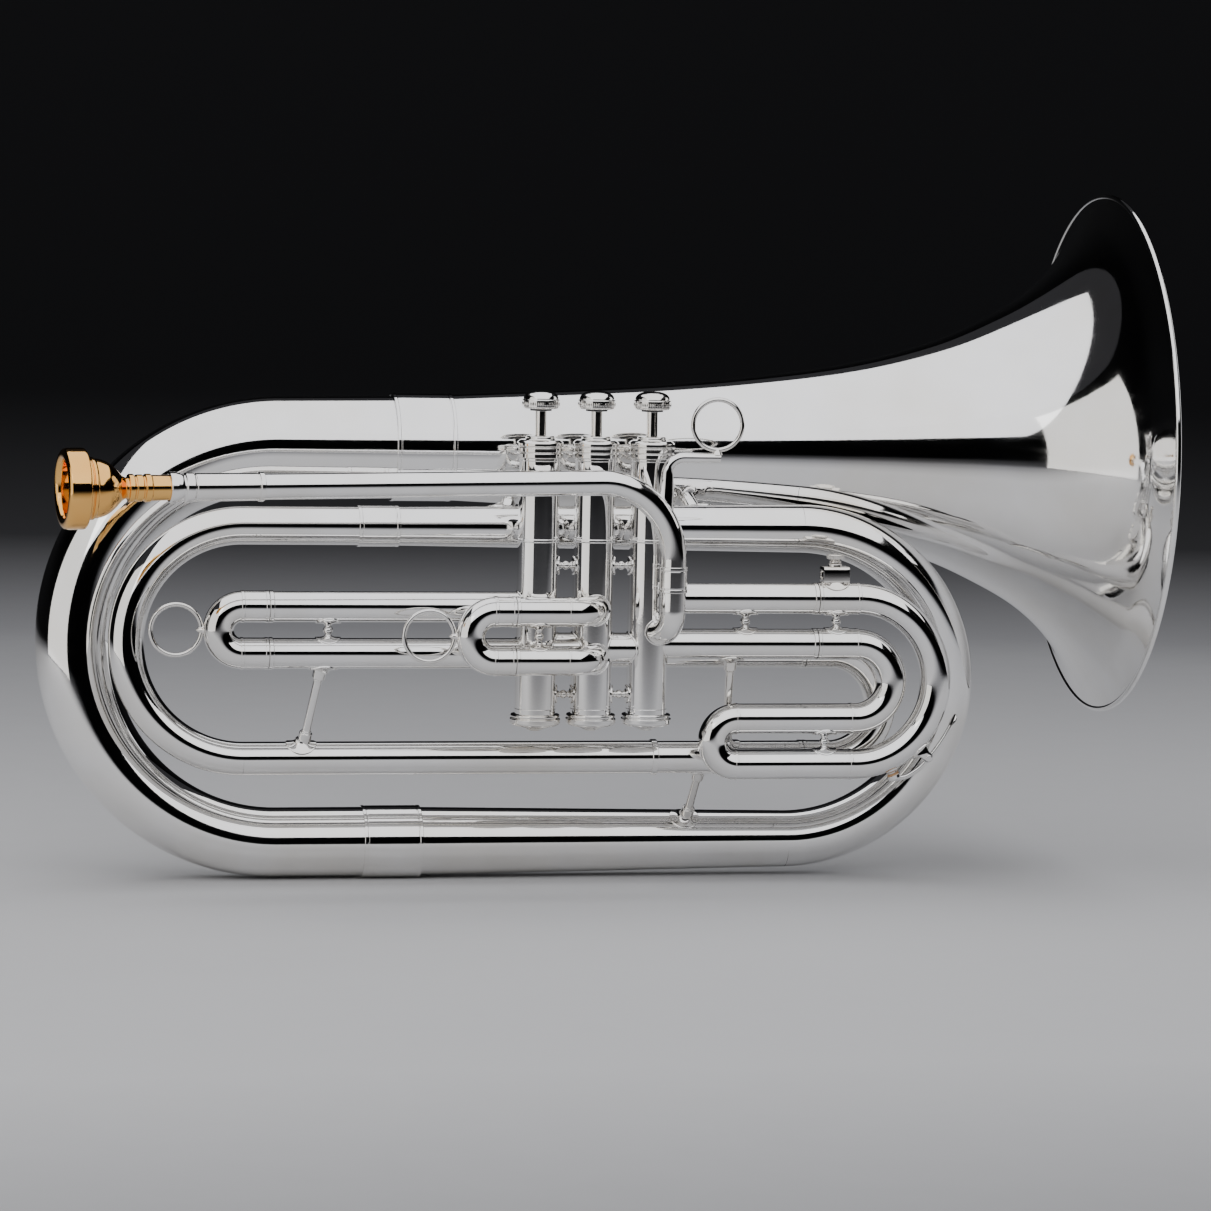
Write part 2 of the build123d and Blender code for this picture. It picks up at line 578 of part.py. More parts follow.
def receiver():
    start, end = RECEIVER_START, RECEIVER_END
    outline = Polyline((start, 5.92), (start, 7.3), (start + 2.6, 7.3), (start + 3.0, 6.8),
                       (start + 3.6, 6.8), (start + 4.0, 7.2), (start + 10.6, 7.0), (start + 11.0, 6.6),
                       (end - 2.2, 6.5), (end - 2.0, 7.0), (end, 7.0), (end, LEAD_BORE_R),
                       (76.6, LEAD_BORE_R), (76.6, 5.36), (start, 5.92))
    return turned(outline, lead_point(0), lead_direction())


def lead_path():
    """The leadpipe's centre line, from the receiver round the bend to the joint above the elbow."""
    bottom = Vector(LEAD_CORNER.X, LEAD_CORNER.Y, LEAD_JOINT_Z)
    return FilletPolyline(lead_point(RECEIVER_END), LEAD_CORNER, bottom, radius=LEAD_BEND_R)


def leadpipe():
    return swept_tube(lead_path(), LEAD_R, LEAD_BORE_R)


def lead_elbow():
    top = Vector(LEAD_CORNER.X, LEAD_CORNER.Y, LEAD_JOINT_Z)
    corner = Vector(top.X, top.Y, LEAD_PORT_Z)
    target = Vector(VALVE_X[2], 0, LEAD_PORT_Z)
    path = FilletPolyline(top, corner, target, radius=LEAD_ELBOW_R)
    body = swept_tube(path, LEAD_R, LEAD_BORE_R)
    body -= rod((VALVE_X[2], 0, SLIDE3_Z[1]), (SLIDE3_END, 0, SLIDE3_Z[1]), SLIDE_R)
    return body - Pos(VALVE_X[2], 0, LEAD_PORT_Z) * Cylinder(CASING_R, 4 * LEAD_R)


def finger_hook():
    corner = (HOOK_BASE[0], HOOK_BASE[1], HOOK_TOP_Z)
    path = FilletPolyline(HOOK_BASE, corner, (HOOK_END_X, HOOK_BASE[1], HOOK_TOP_Z), radius=8)
    start = Plane(origin=path @ 0, z_dir=path % 0)
    bar = sweep(start * Circle(HOOK_R), path=path)
    foot = rod(HOOK_BASE, Vector(HOOK_BASE) - Vector(1, 1, 6), HOOK_R)
    path = lead_path()
    pipe_space = sweep(Plane(origin=path @ 0, z_dir=path % 0) * Circle(LEAD_R), path=path)
    return largest(bar + foot - pipe_space)


def finger_ring(hook):
    centre = (HOOK_END_X - 1.6, HOOK_BASE[1], HOOK_TOP_Z + HOOK_R + PULL_RING_R + PULL_WIRE_R - 0.5)
    return ring(centre, (0, 1, 0), PULL_RING_R, PULL_WIRE_R) - hook


# ---------------------------------------------------------------- lyre holder and water key

def lyre_holder():
    """A socket block on the third slide with a round bore along X and a threaded boss on top."""
    bottom = SLIDE3_Z[0]
    block = Pos(LYRE_X, 0, LYRE_BORE_Z) * Box(13.0, 10.0, 8.4)
    block = fillet(block.edges().filter_by(Axis.X), 2.0)
    block += Pos(LYRE_X, 0, bottom) * Box(13.0, 7.0, LYRE_BORE_Z - bottom, align=BASE)
    block += Pos(LYRE_X, 0, LYRE_BORE_Z) * Cylinder(3.4, 5.6, align=BASE)
    block -= rod((LYRE_X - 20, 0, LYRE_BORE_Z), (LYRE_X + 20, 0, LYRE_BORE_Z), LYRE_BORE_R)
    block -= Pos(LYRE_X, 0, LYRE_BORE_Z) * Cylinder(1.6, 10, align=BASE)
    return block - rod((LYRE_X - 20, 0, bottom), (LYRE_X + 20, 0, bottom), SLIDE_R)


def lyre_screw():
    """The thumbscrew that clamps a lyre's stem in the socket."""
    tip = LYRE_BORE_Z + LYRE_BORE_R + 0.1
    head_bottom = LYRE_BORE_Z + 5.8
    shank = Pos(LYRE_X, 0, tip) * Cylinder(1.52, head_bottom - tip, align=BASE)
    head = Pos(LYRE_X, 0, head_bottom) * Cylinder(5.2, 4.2, align=BASE)
    head = chamfer(head.edges().filter_by(GeomType.CIRCLE), 0.5)
    return shank + head


def key_point(angle, radius, y=0.0):
    """A point by the third slide's outer bow, at an angle and a distance from the bow's centre."""
    centre_z = (SLIDE3_Z[0] + SLIDE3_RETURN_Z[0]) / 2
    turn = math.radians(angle)
    return Vector(SLIDE3_BEND_X + radius * math.cos(turn), y, centre_z + radius * math.sin(turn))


def key_frame(angle, radius):
    """A plane at a point of the bow: X along the bow, Y outward from its centre, Z along +Y or -Y."""
    outward = (key_point(angle, radius + 1) - key_point(angle, radius)).normalized()
    along = Vector(outward.Z, 0, -outward.X)
    return Plane(origin=key_point(angle, radius), x_dir=along, z_dir=along.cross(outward))


def bow_space():
    """The third slide's outer bow as a solid bar."""
    path = half_turn((SLIDE3_BEND_X, 0, SLIDE3_Z[0]), (SLIDE3_BEND_X, 0, SLIDE3_RETURN_Z[0]), (1, 0, 0))
    return sweep(Plane(origin=path @ 0, z_dir=path % 0) * Circle(SLIDE_R), path=path)


def water_key_saddle():
    """The two ears, the pin across them, and the nipple that the cork closes."""
    place = key_frame(KEY_PIVOT_ANGLE, KEY_PIVOT_R)
    ears = None
    for side in (-1, 1):
        ear = place * (Pos(0, -2.2, side * 3.7) * Box(4.6, 7.4, 1.2))
        ears = ear if ears is None else ears + ear
    foot = place * (Pos(0, -5.3, 0) * Box(6.4, 2.6, 8.6))
    pivot = place * Cylinder(0.95, 30)
    pin = place * Cylinder(0.9, 10.4)
    nipple_axis = key_point(KEY_CORK_ANGLE, 0)
    nipple = rod(key_point(KEY_CORK_ANGLE, 44), key_point(KEY_CORK_ANGLE, 49.4), 2.4)
    nipple -= rod(nipple_axis, key_point(KEY_CORK_ANGLE, 60), 1.4)
    solid_bow = bow_space()
    saddle = ((ears + foot) - solid_bow) - pivot
    return group(saddle, pin, nipple - solid_bow)


def water_key_lever():
    """The rocking lever: cork cup at one end, hinge tube at the pivot, finger spoon at the other."""
    cup_start = key_point(KEY_CORK_ANGLE, 50.6)
    cup = rod(cup_start, key_point(KEY_CORK_ANGLE, 52.6), 3.4)
    tip = key_point(KEY_TIP_ANGLE, 54.2)
    pivot = key_point(KEY_PIVOT_ANGLE, KEY_PIVOT_R + 1.2)
    arms = rod(key_point(KEY_CORK_ANGLE, 52.0), pivot, 1.1) + rod(pivot, tip, 1.1)
    spoon_place = key_frame(KEY_TIP_ANGLE - 4, 53.6)
    spoon = spoon_place * Box(10.0, 1.4, 6.0)
    spoon = fillet(spoon.edges().filter_by(Axis((0, 0, 0), spoon_place.y_dir)), 2.0)
    hub = key_frame(KEY_PIVOT_ANGLE, KEY_PIVOT_R) * Cylinder(1.9, 5.8)
    body = cup + arms + spoon + hub
    return body - key_frame(KEY_PIVOT_ANGLE, KEY_PIVOT_R) * Cylinder(0.95, 20)


def water_key_cork():
    return rod(key_point(KEY_CORK_ANGLE, 49.4), key_point(KEY_CORK_ANGLE, 50.6), 2.9)


def water_key_spring():
    """The torsion coil round the lever's hinge tube, beside its arms."""
    wire_r, coil_r, pitch, height = 0.25, 2.3, 0.55, 1.1
    coil = Pos(0, 0, 1.5) * Helix(pitch, height, coil_r)
    section = Plane(origin=coil @ 0, z_dir=coil % 0) * Circle(wire_r)
    return key_frame(KEY_PIVOT_ANGLE, KEY_PIVOT_R) * sweep(section, path=coil, is_frenet=True)


# ---------------------------------------------------------------- braces

def body_braces(bell_sheet, middle, bottom):
    """The fixed posts and spools that hold the tubes to each other."""
    slide1_low, slide3_low = SLIDE1_Z[1], SLIDE3_Z[1]
    pieces = [
        brace((-130.2, 0, slide1_low), SLIDE_R, on(LOWER_YZ, -138.6), LOWER_R, 2.05, 7.5),
        brace((69, 0, slide3_low), SLIDE_R, on(LOWER_YZ, 71), MAIN_R, 2.05, 7.0),
        largest(brace(on(LOWER_YZ, 60), MAIN_R, on(BOTTOM_YZ, 56), 14.4, 2.05, 7.5) - bottom),
        largest(brace(on(MIDDLE_YZ, -40), 9.8, on(BELL_YZ, -25), 26.6, 2.6, 8.0) - bell_sheet - middle),
        largest(brace(on(MIDDLE_YZ, 60), 11.0, on(BELL_YZ, 45), 31.4, 2.6, 8.0) - bell_sheet - middle),
        leg_spool(-128.5, 0, SLIDE1_Z, SLIDE_R),
        leg_spool(-29.4, SLIDE2_Y, SLIDE2_Z, SLIDE_R - 0.3),
        leg_spool(75.6, 0, SLIDE3_Z, SLIDE_R),
    ]
    return group(*pieces)


def build():
    nodes = {}
    for i, x in enumerate(VALVE_X):
        number = i + 1
        nodes[f"valve_casing_{number}"] = valve_casing(i)
        nodes[f"piston_{number}"] = piston(i)
        nodes[f"valve_spring_{number}"] = valve_spring(x)
        nodes[f"finger_button_{number}"] = finger_button(x)
        nodes[f"piston_felts_{number}"] = piston_felts(x)
    nodes["valve_guides"] = group(*[valve_guide(x) for x in VALVE_X])
    nodes["top_caps"] = group(*[top_cap(x) for x in VALVE_X])
    nodes["bottom_caps"] = group(*[bottom_cap(x) for x in VALVE_X])
    nodes["valve_knuckles"] = knuckles()

    nodes["bell_stem"] = bell_stem()
    nodes["bell_flare"] = bell_flare()
    nodes["bell_rim"] = bell_rim()
    nodes["outer_bow"] = outer_bow()
    nodes["bottom_branch"] = bottom_branch()
    nodes["right_bow"] = right_bow()
    nodes["middle_branch"] = middle_branch()
    nodes["inner_bow"] = inner_bow()
    nodes["lower_branch"] = lower_branch()
    nodes["bell_ferrule"] = sleeve(on(BELL_YZ, -89.9), on(BELL_YZ, -60.5), OUTER_BOW_END_R + 0.7, 0.6)
    nodes["bow_ferrule"] = sleeve(on(BOTTOM_YZ, -104.3), on(BOTTOM_YZ, -75.3), BOTTOM_END_R, 0.8)
    lead_joint = Vector(LEAD_CORNER.X, LEAD_CORNER.Y, LEAD_JOINT_Z)
    half_ferrule = Vector(0, 0, 6.2)
    nodes["tube_ferrules"] = group(
        sleeve(on(MIDDLE_YZ, -111.2), on(MIDDLE_YZ, -91.2), MIDDLE_START_R + 0.2, 0.6),
        sleeve(on(LOWER_YZ, 33.5), on(LOWER_YZ, 36.5), LOWER_R, 0.7),
        sleeve(lead_joint + half_ferrule, lead_joint - half_ferrule, LEAD_R, 0.7))

    nodes["main_slide_upper_tube"] = main_upper()
    nodes["main_slide_lower_tube"] = main_lower()
    nodes["main_slide_inner_tubes"] = main_inner()
    nodes["main_slide_crook"] = slide_crook((MAIN_END + 0.3, MAIN_BEND_X), MAIN_Y, MAIN_Z, MAIN_R,
                                            MAIN_INNER_BORE_R, 1)

    nodes["slide1_outer_tubes"] = slide1_outer()
    nodes["slide1_inner_tubes"] = slide1_inner()
    nodes["slide1_crook"] = slide_crook((SLIDE1_END - 0.3, SLIDE1_FERRULE), 0, SLIDE1_Z, SLIDE_R,
                                        INNER_BORE_R, -1)
    reach1 = (SLIDE1_Z[0] - SLIDE1_Z[1]) / 2 + SLIDE_R
    nodes["slide1_ring"] = pull_ring(SLIDE1_FERRULE - reach1, 0, SLIDE1_Z, SLIDE1_FERRULE, SLIDE_R, -1)

    nodes["slide2_outer_tubes"] = slide2_outer()
    nodes["slide2_inner_tubes"] = slide2_inner()
    slide2_r = SLIDE_R - 0.3
    nodes["slide2_crook"] = slide_crook((SLIDE2_END - 0.3, SLIDE2_FERRULE), SLIDE2_Y, SLIDE2_Z, slide2_r,
                                        INNER_BORE_R - 0.3, -1)
    reach2 = (SLIDE2_Z[0] - SLIDE2_Z[1]) / 2 + slide2_r
    nodes["slide2_ring"] = pull_ring(SLIDE2_FERRULE - reach2, SLIDE2_Y, SLIDE2_Z, SLIDE2_FERRULE,
                                     slide2_r, -1)

    nodes["slide3_outer_tubes"] = slide3_outer()
    nodes["slide3_inner_tubes"] = slide3_inner()
    nodes["slide3_outer_bow"] = slide3_outer_bow()
    nodes["slide3_inner_bow"] = slide3_inner_bow()
    nodes["lyre_holder"] = lyre_holder()
    nodes["lyre_screw"] = lyre_screw()
    nodes["water_key_saddle"] = water_key_saddle()
    nodes["water_key_lever"] = water_key_lever()
    nodes["water_key_cork"] = water_key_cork()
    nodes["water_key_spring"] = water_key_spring()

    nodes["mouthpiece"] = mouthpiece()
    nodes["mouthpiece_receiver"] = receiver()
    nodes["leadpipe"] = leadpipe()
    nodes["leadpipe_elbow"] = lead_elbow()
    nodes["finger_hook"] = finger_hook()
    nodes["finger_hook_ring"] = finger_ring(nodes["finger_hook"])
    braces = body_braces(nodes["bell_stem"], nodes["middle_branch"], nodes["bottom_branch"])
    nodes["body_braces"] = group(braces, casing_spools())
    return nodes


if __name__ == "__main__":
    os.makedirs("parts", exist_ok=True)
    for name, shape in build().items():
        export_step(shape, f"parts/{name}.step")
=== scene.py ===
import json
import math

import bmesh
import bpy
from mathutils import Matrix, Vector


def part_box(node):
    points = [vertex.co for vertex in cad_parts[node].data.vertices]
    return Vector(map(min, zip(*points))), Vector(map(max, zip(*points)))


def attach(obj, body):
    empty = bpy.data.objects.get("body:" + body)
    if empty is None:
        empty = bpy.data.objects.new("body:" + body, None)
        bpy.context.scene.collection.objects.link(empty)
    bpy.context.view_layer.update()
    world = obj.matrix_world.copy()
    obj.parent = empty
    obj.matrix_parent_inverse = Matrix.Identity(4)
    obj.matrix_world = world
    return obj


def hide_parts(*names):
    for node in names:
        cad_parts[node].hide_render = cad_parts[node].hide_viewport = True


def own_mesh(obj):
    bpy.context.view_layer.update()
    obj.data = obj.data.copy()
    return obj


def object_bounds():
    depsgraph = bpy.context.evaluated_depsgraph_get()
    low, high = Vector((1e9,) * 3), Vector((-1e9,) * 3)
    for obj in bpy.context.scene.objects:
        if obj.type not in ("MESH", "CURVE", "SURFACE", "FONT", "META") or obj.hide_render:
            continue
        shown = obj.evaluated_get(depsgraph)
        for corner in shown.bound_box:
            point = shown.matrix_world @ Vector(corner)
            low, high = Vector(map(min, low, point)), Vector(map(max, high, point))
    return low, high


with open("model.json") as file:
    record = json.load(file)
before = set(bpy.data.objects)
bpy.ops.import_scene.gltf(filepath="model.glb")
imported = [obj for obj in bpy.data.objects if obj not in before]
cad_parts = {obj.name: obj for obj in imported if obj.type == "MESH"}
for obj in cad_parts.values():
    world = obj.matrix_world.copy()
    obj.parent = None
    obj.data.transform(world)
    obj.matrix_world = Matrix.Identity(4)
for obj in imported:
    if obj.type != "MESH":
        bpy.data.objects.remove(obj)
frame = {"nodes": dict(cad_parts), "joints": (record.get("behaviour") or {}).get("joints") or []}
cad_low, cad_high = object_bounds()

# Lengths below are in millimetres in the frame shared with the CAD, and SCALE turns them into metres.
SCALE = 0.001
X, Y, Z = Vector((1, 0, 0)), Vector((0, 1, 0)), Vector((0, 0, 1))


def span(node):
    """A CAD node's lowest and highest corners, in millimetres."""
    low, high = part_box(node)
    return low / SCALE, high / SCALE


def middle(node):
    low, high = span(node)
    return (low + high) / 2


# ---------------------------------------------------------------- mesh building

class Shape:
    """Collects surfaces, and becomes one piece."""

    def __init__(self):
        self.verts, self.faces = [], []

    def skin(self, rings, loop=False, caps=False):
        base, count, size = len(self.verts), len(rings), len(rings[0])
        for ring in rings:
            self.verts.extend(ring)
        for i in range(count if loop else count - 1):
            a, b = base + i * size, base + (i + 1) % count * size
            for k in range(size):
                n = (k + 1) % size
                self.faces.append((a + k, b + k, b + n, a + n))
        if caps:
            self.faces.append(tuple(base + k for k in range(size)))
            last = base + (count - 1) * size
            self.faces.append(tuple(last + k for k in range(size)))

    def lathe(self, origin, axis, profile, seg=72, closed=True, grip=None):
        """Turns (distance, radius) pairs round an axis. grip is (count, depth, low, high) for a knurl."""
        origin, axis = Vector(origin), Vector(axis).normalized()
        side = axis.orthogonal().normalized()
        other = axis.cross(side)
        rings = []
        for s, r in profile:
            ring = []
            for k in range(seg):
                a = 2 * math.pi * k / seg
                radius = r
                if grip and grip[2] <= s <= grip[3]:
                    lean = (s - grip[2]) * 1.1
                    wave = math.sin(grip[0] * a + lean) * math.sin(grip[0] * a - lean)
                    radius -= grip[1] * (0.5 + 0.5 * wave)
                ring.append(origin + axis * s + (side * math.cos(a) + other * math.sin(a)) * radius)
            rings.append(ring)
        self.skin(rings, loop=closed, caps=not closed)

    def pipe(self, points, radii, seg=64, loop=False, caps=True, flat=1.0):
        """A round bar or tube skin along points. radii is one number or one for each point."""
        points = [Vector(p) for p in points]
        count = len(points)
        if not hasattr(radii, "__len__"):
            radii = [radii] * count
        side, rings = None, []
        for i, p in enumerate(points):
            if loop:
                tangent = points[(i + 1) % count] - points[i - 1]
            else:
                tangent = points[min(i + 1, count - 1)] - points[max(i - 1, 0)]
            tangent.normalize()
            if side is None:
                side = tangent.orthogonal().normalized()
            side = (side - tangent * side.dot(tangent)).normalized()
            other = tangent.cross(side) * flat
            rings.append([p + (side * math.cos(t) + other * math.sin(t)) * radii[i]
                          for t in (2 * math.pi * k / seg for k in range(seg))])
        self.skin(rings, loop=loop, caps=caps and not loop)

    def slab(self, outline, thickness, matrix, edge=0.3):
        """An outline in the matrix's XY plane made into a plate with softened edges."""
        centre = Vector((sum(p[0] for p in outline), sum(p[1] for p in outline))) / len(outline)

        def ring(inset, height):
            made = []
            for x, y in outline:
                v = Vector((x, y)) - centre
                v = v * max(0.0, 1 - inset / max(v.length, 0.01)) + centre
                made.append(matrix @ Vector((v.x, v.y, height)))
            return made

        h = thickness / 2
        self.skin([ring(edge, -h), ring(edge * 0.3, -h + edge * 0.3), ring(0, -h + edge),
                   ring(0, h - edge), ring(edge * 0.3, h - edge * 0.3), ring(edge, h)], caps=True)

    def saddle(self, centre, tube_axis, direction, tube_r, pad_r, neck_r, rise=3.2):
        """A soldered flange that lies on a tube and flares up into a post."""
        centre, along = Vector(centre), Vector(tube_axis).normalized()
        up = Vector(direction)
        up = (up - along * up.dot(along)).normalized()
        across = along.cross(up)
        steps = [(max(0.02, pad_r * k / 6), -0.4) for k in range(7)]
        steps += [(pad_r, 0.25), (pad_r - 0.12, 0.5), (pad_r - 0.4, 0.62)]
        run = pad_r - 0.6 - neck_r
        steps += [(neck_r + run * (1 - t) ** 1.6, 0.62 + rise * t ** 3.2)
                  for t in (i / 14 for i in range(15))]
        rings = []
        for rho, height in steps:
            ring = []
            for k in range(48):
                a = 2 * math.pi * k / 48
                turn = rho * math.sin(a) / tube_r
                radial = up * math.cos(turn) + across * math.sin(turn)
                lift = tube_r + height
                point = centre + along * rho * math.cos(a) + radial * lift
                if height > 0.62:
                    plane = centre + along * rho * math.cos(a) + across * rho * math.sin(a) + up * lift
                    blend = min(1.0, (height - 0.62) / rise * 1.6)
                    point = point.lerp(plane, blend)
                ring.append(point)
            rings.append(ring)
        self.skin(rings, caps=True)

    def finish(self, name, body, slot, material, *nodes, sharp=38):
        mesh = bpy.data.meshes.new(name)
        mesh.from_pydata([v * SCALE for v in self.verts], [], self.faces)
        work = bmesh.new()
        work.from_mesh(mesh)
        bmesh.ops.remove_doubles(work, verts=work.verts, dist=2e-7)
        bmesh.ops.recalc_face_normals(work, faces=work.faces)
        work.to_mesh(mesh)
        work.free()
        mesh.polygons.foreach_set("use_smooth", [True] * len(mesh.polygons))
        mesh.set_sharp_from_angle(angle=math.radians(sharp))
        piece = bpy.data.objects.new(name, mesh)
        bpy.context.scene.collection.objects.link(piece)
        piece.data.materials.append(material)
        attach(piece, body)
        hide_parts(*nodes)
        return piece


def soft(profile, radius=0.3, closed=True, steps=3, support=0.04):
    """Rounds the corners of a profile, and keeps a thin strip beside each so long faces shade straight."""
    points = [Vector(p) for p in profile]
    count, made = len(points), []
    for i, p in enumerate(points):
        if not closed and i in (0, count - 1):
            made.append(tuple(p))
            continue
        before, after = points[i - 1], points[(i + 1) % count]
        a, b = before - p, after - p
        if a.length < 1e-4 or b.length < 1e-4 or a.normalized().dot(b.normalized()) < -0.985:
            made.append(tuple(p))
            continue
        reach = min(radius, a.length * 0.42, b.length * 0.42)
        start, end = p + a.normalized() * reach, p + b.normalized() * reach
        made.append(tuple(start + a.normalized() * min(support, reach * 0.15)))
        for k in range(steps + 1):
            t = k / steps
            made.append(tuple(start * (1 - t) ** 2 + p * 2 * t * (1 - t) + end * t ** 2))
        made.append(tuple(end + b.normalized() * min(support, reach * 0.15)))
    return made


def curve_through(stations, per_span=12):
    """A smooth curve through (x, r) stations, with slopes from the neighbours."""
    slopes = []
    for i in range(len(stations)):
        a, b = stations[max(i - 1, 0)], stations[min(i + 1, len(stations) - 1)]
        slopes.append((b[1] - a[1]) / (b[0] - a[0]))
    made = []
    for (x0, r0), (x1, r1), m0, m1 in zip(stations, stations[1:], slopes, slopes[1:]):
        width = x1 - x0
        for k in range(per_span):
            t = k / per_span
            r = ((2 * t ** 3 - 3 * t ** 2 + 1) * r0 + (t ** 3 - 2 * t ** 2 + t) * width * m0
                 + (3 * t ** 2 - 2 * t ** 3) * r1 + (t ** 3 - t ** 2) * width * m1)
            made.append((x0 + width * t, r))
    return made + [stations[-1]]


def straight(start, end, step=8.0):
    start, end = Vector(start), Vector(end)
    count = max(2, int((end - start).length / step))
    edge = min(0.4 / max((end - start).length, 0.8), 0.4)
    return [start.lerp(end, t) for t in [0, edge, *[i / count for i in range(1, count)], 1 - edge, 1]]


def half_circle(start, end, outward, steps=72):
    start, end, outward = Vector(start), Vector(end), Vector(outward).normalized()
    centre, arm = (start + end) / 2, (start - end) / 2
    return [centre + arm * math.cos(a) + outward * arm.length * math.sin(a)
            for a in (math.pi * i / steps for i in range(steps + 1))]


def rounded_path(points, radius, steps=40):
    """Straight runs joined by arcs of one radius."""
    points = [Vector(p) for p in points]
    made, last = [], points[0]
    for before, corner, after in zip(points, points[1:], points[2:]):
        a, b = (before - corner).normalized(), (after - corner).normalized()
        half = a.angle(b) / 2
        reach = radius / math.tan(half)
        start, end = corner + a * reach, corner + b * reach
        centre = corner + (a + b).normalized() * (radius / math.sin(half))
        made += straight(last, start)[:-1]
        arm0, arm1 = start - centre, end - centre
        angle = arm0.angle(arm1)
        for i in range(steps + 1):
            t = i / steps
            sweep = arm0 * math.sin((1 - t) * angle) + arm1 * math.sin(t * angle)
            made.append(centre + sweep / math.sin(angle))
        last = end
    return made + straight(last, points[-1])[1:]


def sleeve_profile(start, end, bore, radius, lip=0.3, groove=0.22):
    """A ferrule: a bead at each end and a fine line inside each bead."""
    return soft([(start, bore), (start, radius), (start + 1.5, radius), (start + 1.7, radius - groove),
                 (start + 2.1, radius - groove), (start + 2.3, radius - lip * 0.4),
                 (end - 2.3, radius - lip * 0.4), (end - 2.1, radius - groove), (end - 1.7, radius - groove),
                 (end - 1.5, radius), (end, radius), (end, bore)], 0.35)


# ---------------------------------------------------------------- materials

class Paint:
    """A node material on the Principled shader."""

    def __init__(self, name, **values):
        self.material = bpy.data.materials.new(name)
        self.material.use_nodes = True
        self.tree = self.material.node_tree
        self.shader = self.tree.nodes["Principled BSDF"]
        for key, value in values.items():
            self.shader.inputs[key.replace("_", " ")].default_value = value
        self.place = self.tree.nodes.new("ShaderNodeTexCoord").outputs["Object"]

    def link(self, out, node, key):
        self.tree.links.new(out, node.inputs[key])

    def stretch(self, scale):
        node = self.tree.nodes.new("ShaderNodeMapping")
        node.inputs["Scale"].default_value = scale
        self.link(self.place, node, "Vector")
        return node.outputs["Vector"]

    def noise(self, scale, detail=3.0, rough=0.55, stretched=None):
        node = self.tree.nodes.new("ShaderNodeTexNoise")
        node.inputs["Scale"].default_value = scale
        node.inputs["Detail"].default_value = detail
        node.inputs["Roughness"].default_value = rough
        self.link(self.stretch(stretched) if stretched else self.place, node, "Vector")
        return node.outputs["Fac"]

    def cells(self, scale):
        node = self.tree.nodes.new("ShaderNodeTexVoronoi")
        node.inputs["Scale"].default_value = scale
        self.link(self.place, node, "Vector")
        return node.outputs["Distance"]

    def ramp(self, value, *stops):
        node = self.tree.nodes.new("ShaderNodeValToRGB")
        ramp = node.color_ramp
        while len(ramp.elements) < len(stops):
            ramp.elements.new(0.5)
        for element, (place, colour) in zip(ramp.elements, stops):
            element.position = place
            element.color = (*colour, 1) if hasattr(colour, "__len__") else (colour, colour, colour, 1)
        self.link(value, node, "Fac")
        return node.outputs["Color"]

    def span(self, value, low, high, start=0.3, end=0.7):
        node = self.tree.nodes.new("ShaderNodeMapRange")
        for key, number in (("From Min", start), ("From Max", end), ("To Min", low), ("To Max", high)):
            node.inputs[key].default_value = number
        self.link(value, node, "Value")
        return node.outputs["Result"]

    def mix(self, factor, a, b, mode="MIX"):
        node = self.tree.nodes.new("ShaderNodeMix")
        node.data_type, node.blend_type = "RGBA", mode
        for value, key in ((factor, 0), (a, 6), (b, 7)):
            if isinstance(value, bpy.types.NodeSocket):
                self.link(value, node, key)
            else:
                node.inputs[key].default_value = value if key == 0 else (*value, 1)
        return node.outputs[2]

    def total(self, a, b):
        node = self.tree.nodes.new("ShaderNodeMath")
        node.operation = "ADD"
        self.link(a, node, 0)
        self.link(b, node, 1)
        return node.outputs["Value"]

    def colour(self, value):
        self.link(value, self.shader, "Base Color")

    def rough(self, value):
        self.link(value, self.shader, "Roughness")

    def bump(self, value, strength, distance):
        node = self.tree.nodes.new("ShaderNodeBump")
        node.inputs["Strength"].default_value = strength
        node.inputs["Distance"].default_value = distance
        self.link(value, node, "Height")
        self.link(node.outputs["Normal"], self.shader, "Normal")


def plated(name, bright, aged, low, high, ripple=0.05):
    """Polished plate: soft drifts of tarnish, wiping marks and fingerprints in the gloss."""
    paint = Paint(name, Metallic=1.0)
    drift = paint.noise(13.0, 4.0, 0.6)
    cloud = paint.noise(46.0, 3.0, 0.5)
    tint = paint.mix(paint.span(drift, 0.0, 1.0, 0.42, 0.74), bright, aged)
    dimmed = paint.ramp(cloud, (0.3, 0.93), (0.62, 1.0))
    paint.colour(paint.mix(0.6, tint, dimmed, "MULTIPLY"))
    wiping = paint.noise(90.0, 4.0, 0.6, stretched=(0.25, 1.0, 2.2))
    specks = paint.noise(900.0, 2.0, 0.5)
    paint.rough(paint.total(paint.span(wiping, low, high, 0.35, 0.72),
                            paint.span(specks, 0.0, 0.02, 0.5, 0.8)))
    paint.bump(paint.total(paint.noise(30.0, 2.0, 0.4),
                           paint.span(specks, 0.0, 0.04, 0.4, 0.8)), ripple, 0.0006)
    return paint.material


silver = plated("silver_plate", (0.955, 0.95, 0.945), (0.90, 0.875, 0.83), 0.028, 0.075)
silver_detail = plated("silver_small_parts", (0.94, 0.93, 0.915), (0.85, 0.81, 0.75), 0.05, 0.12, 0.08)
nickel = plated("nickel_tube", (0.84, 0.825, 0.80), (0.74, 0.71, 0.67), 0.12, 0.22, 0.08)
steel = plated("spring_steel", (0.58, 0.58, 0.60), (0.46, 0.45, 0.44), 0.2, 0.32, 0.1)
gold = plated("gold_plate", (1.0, 0.58, 0.18), (0.93, 0.44, 0.11), 0.04, 0.10)


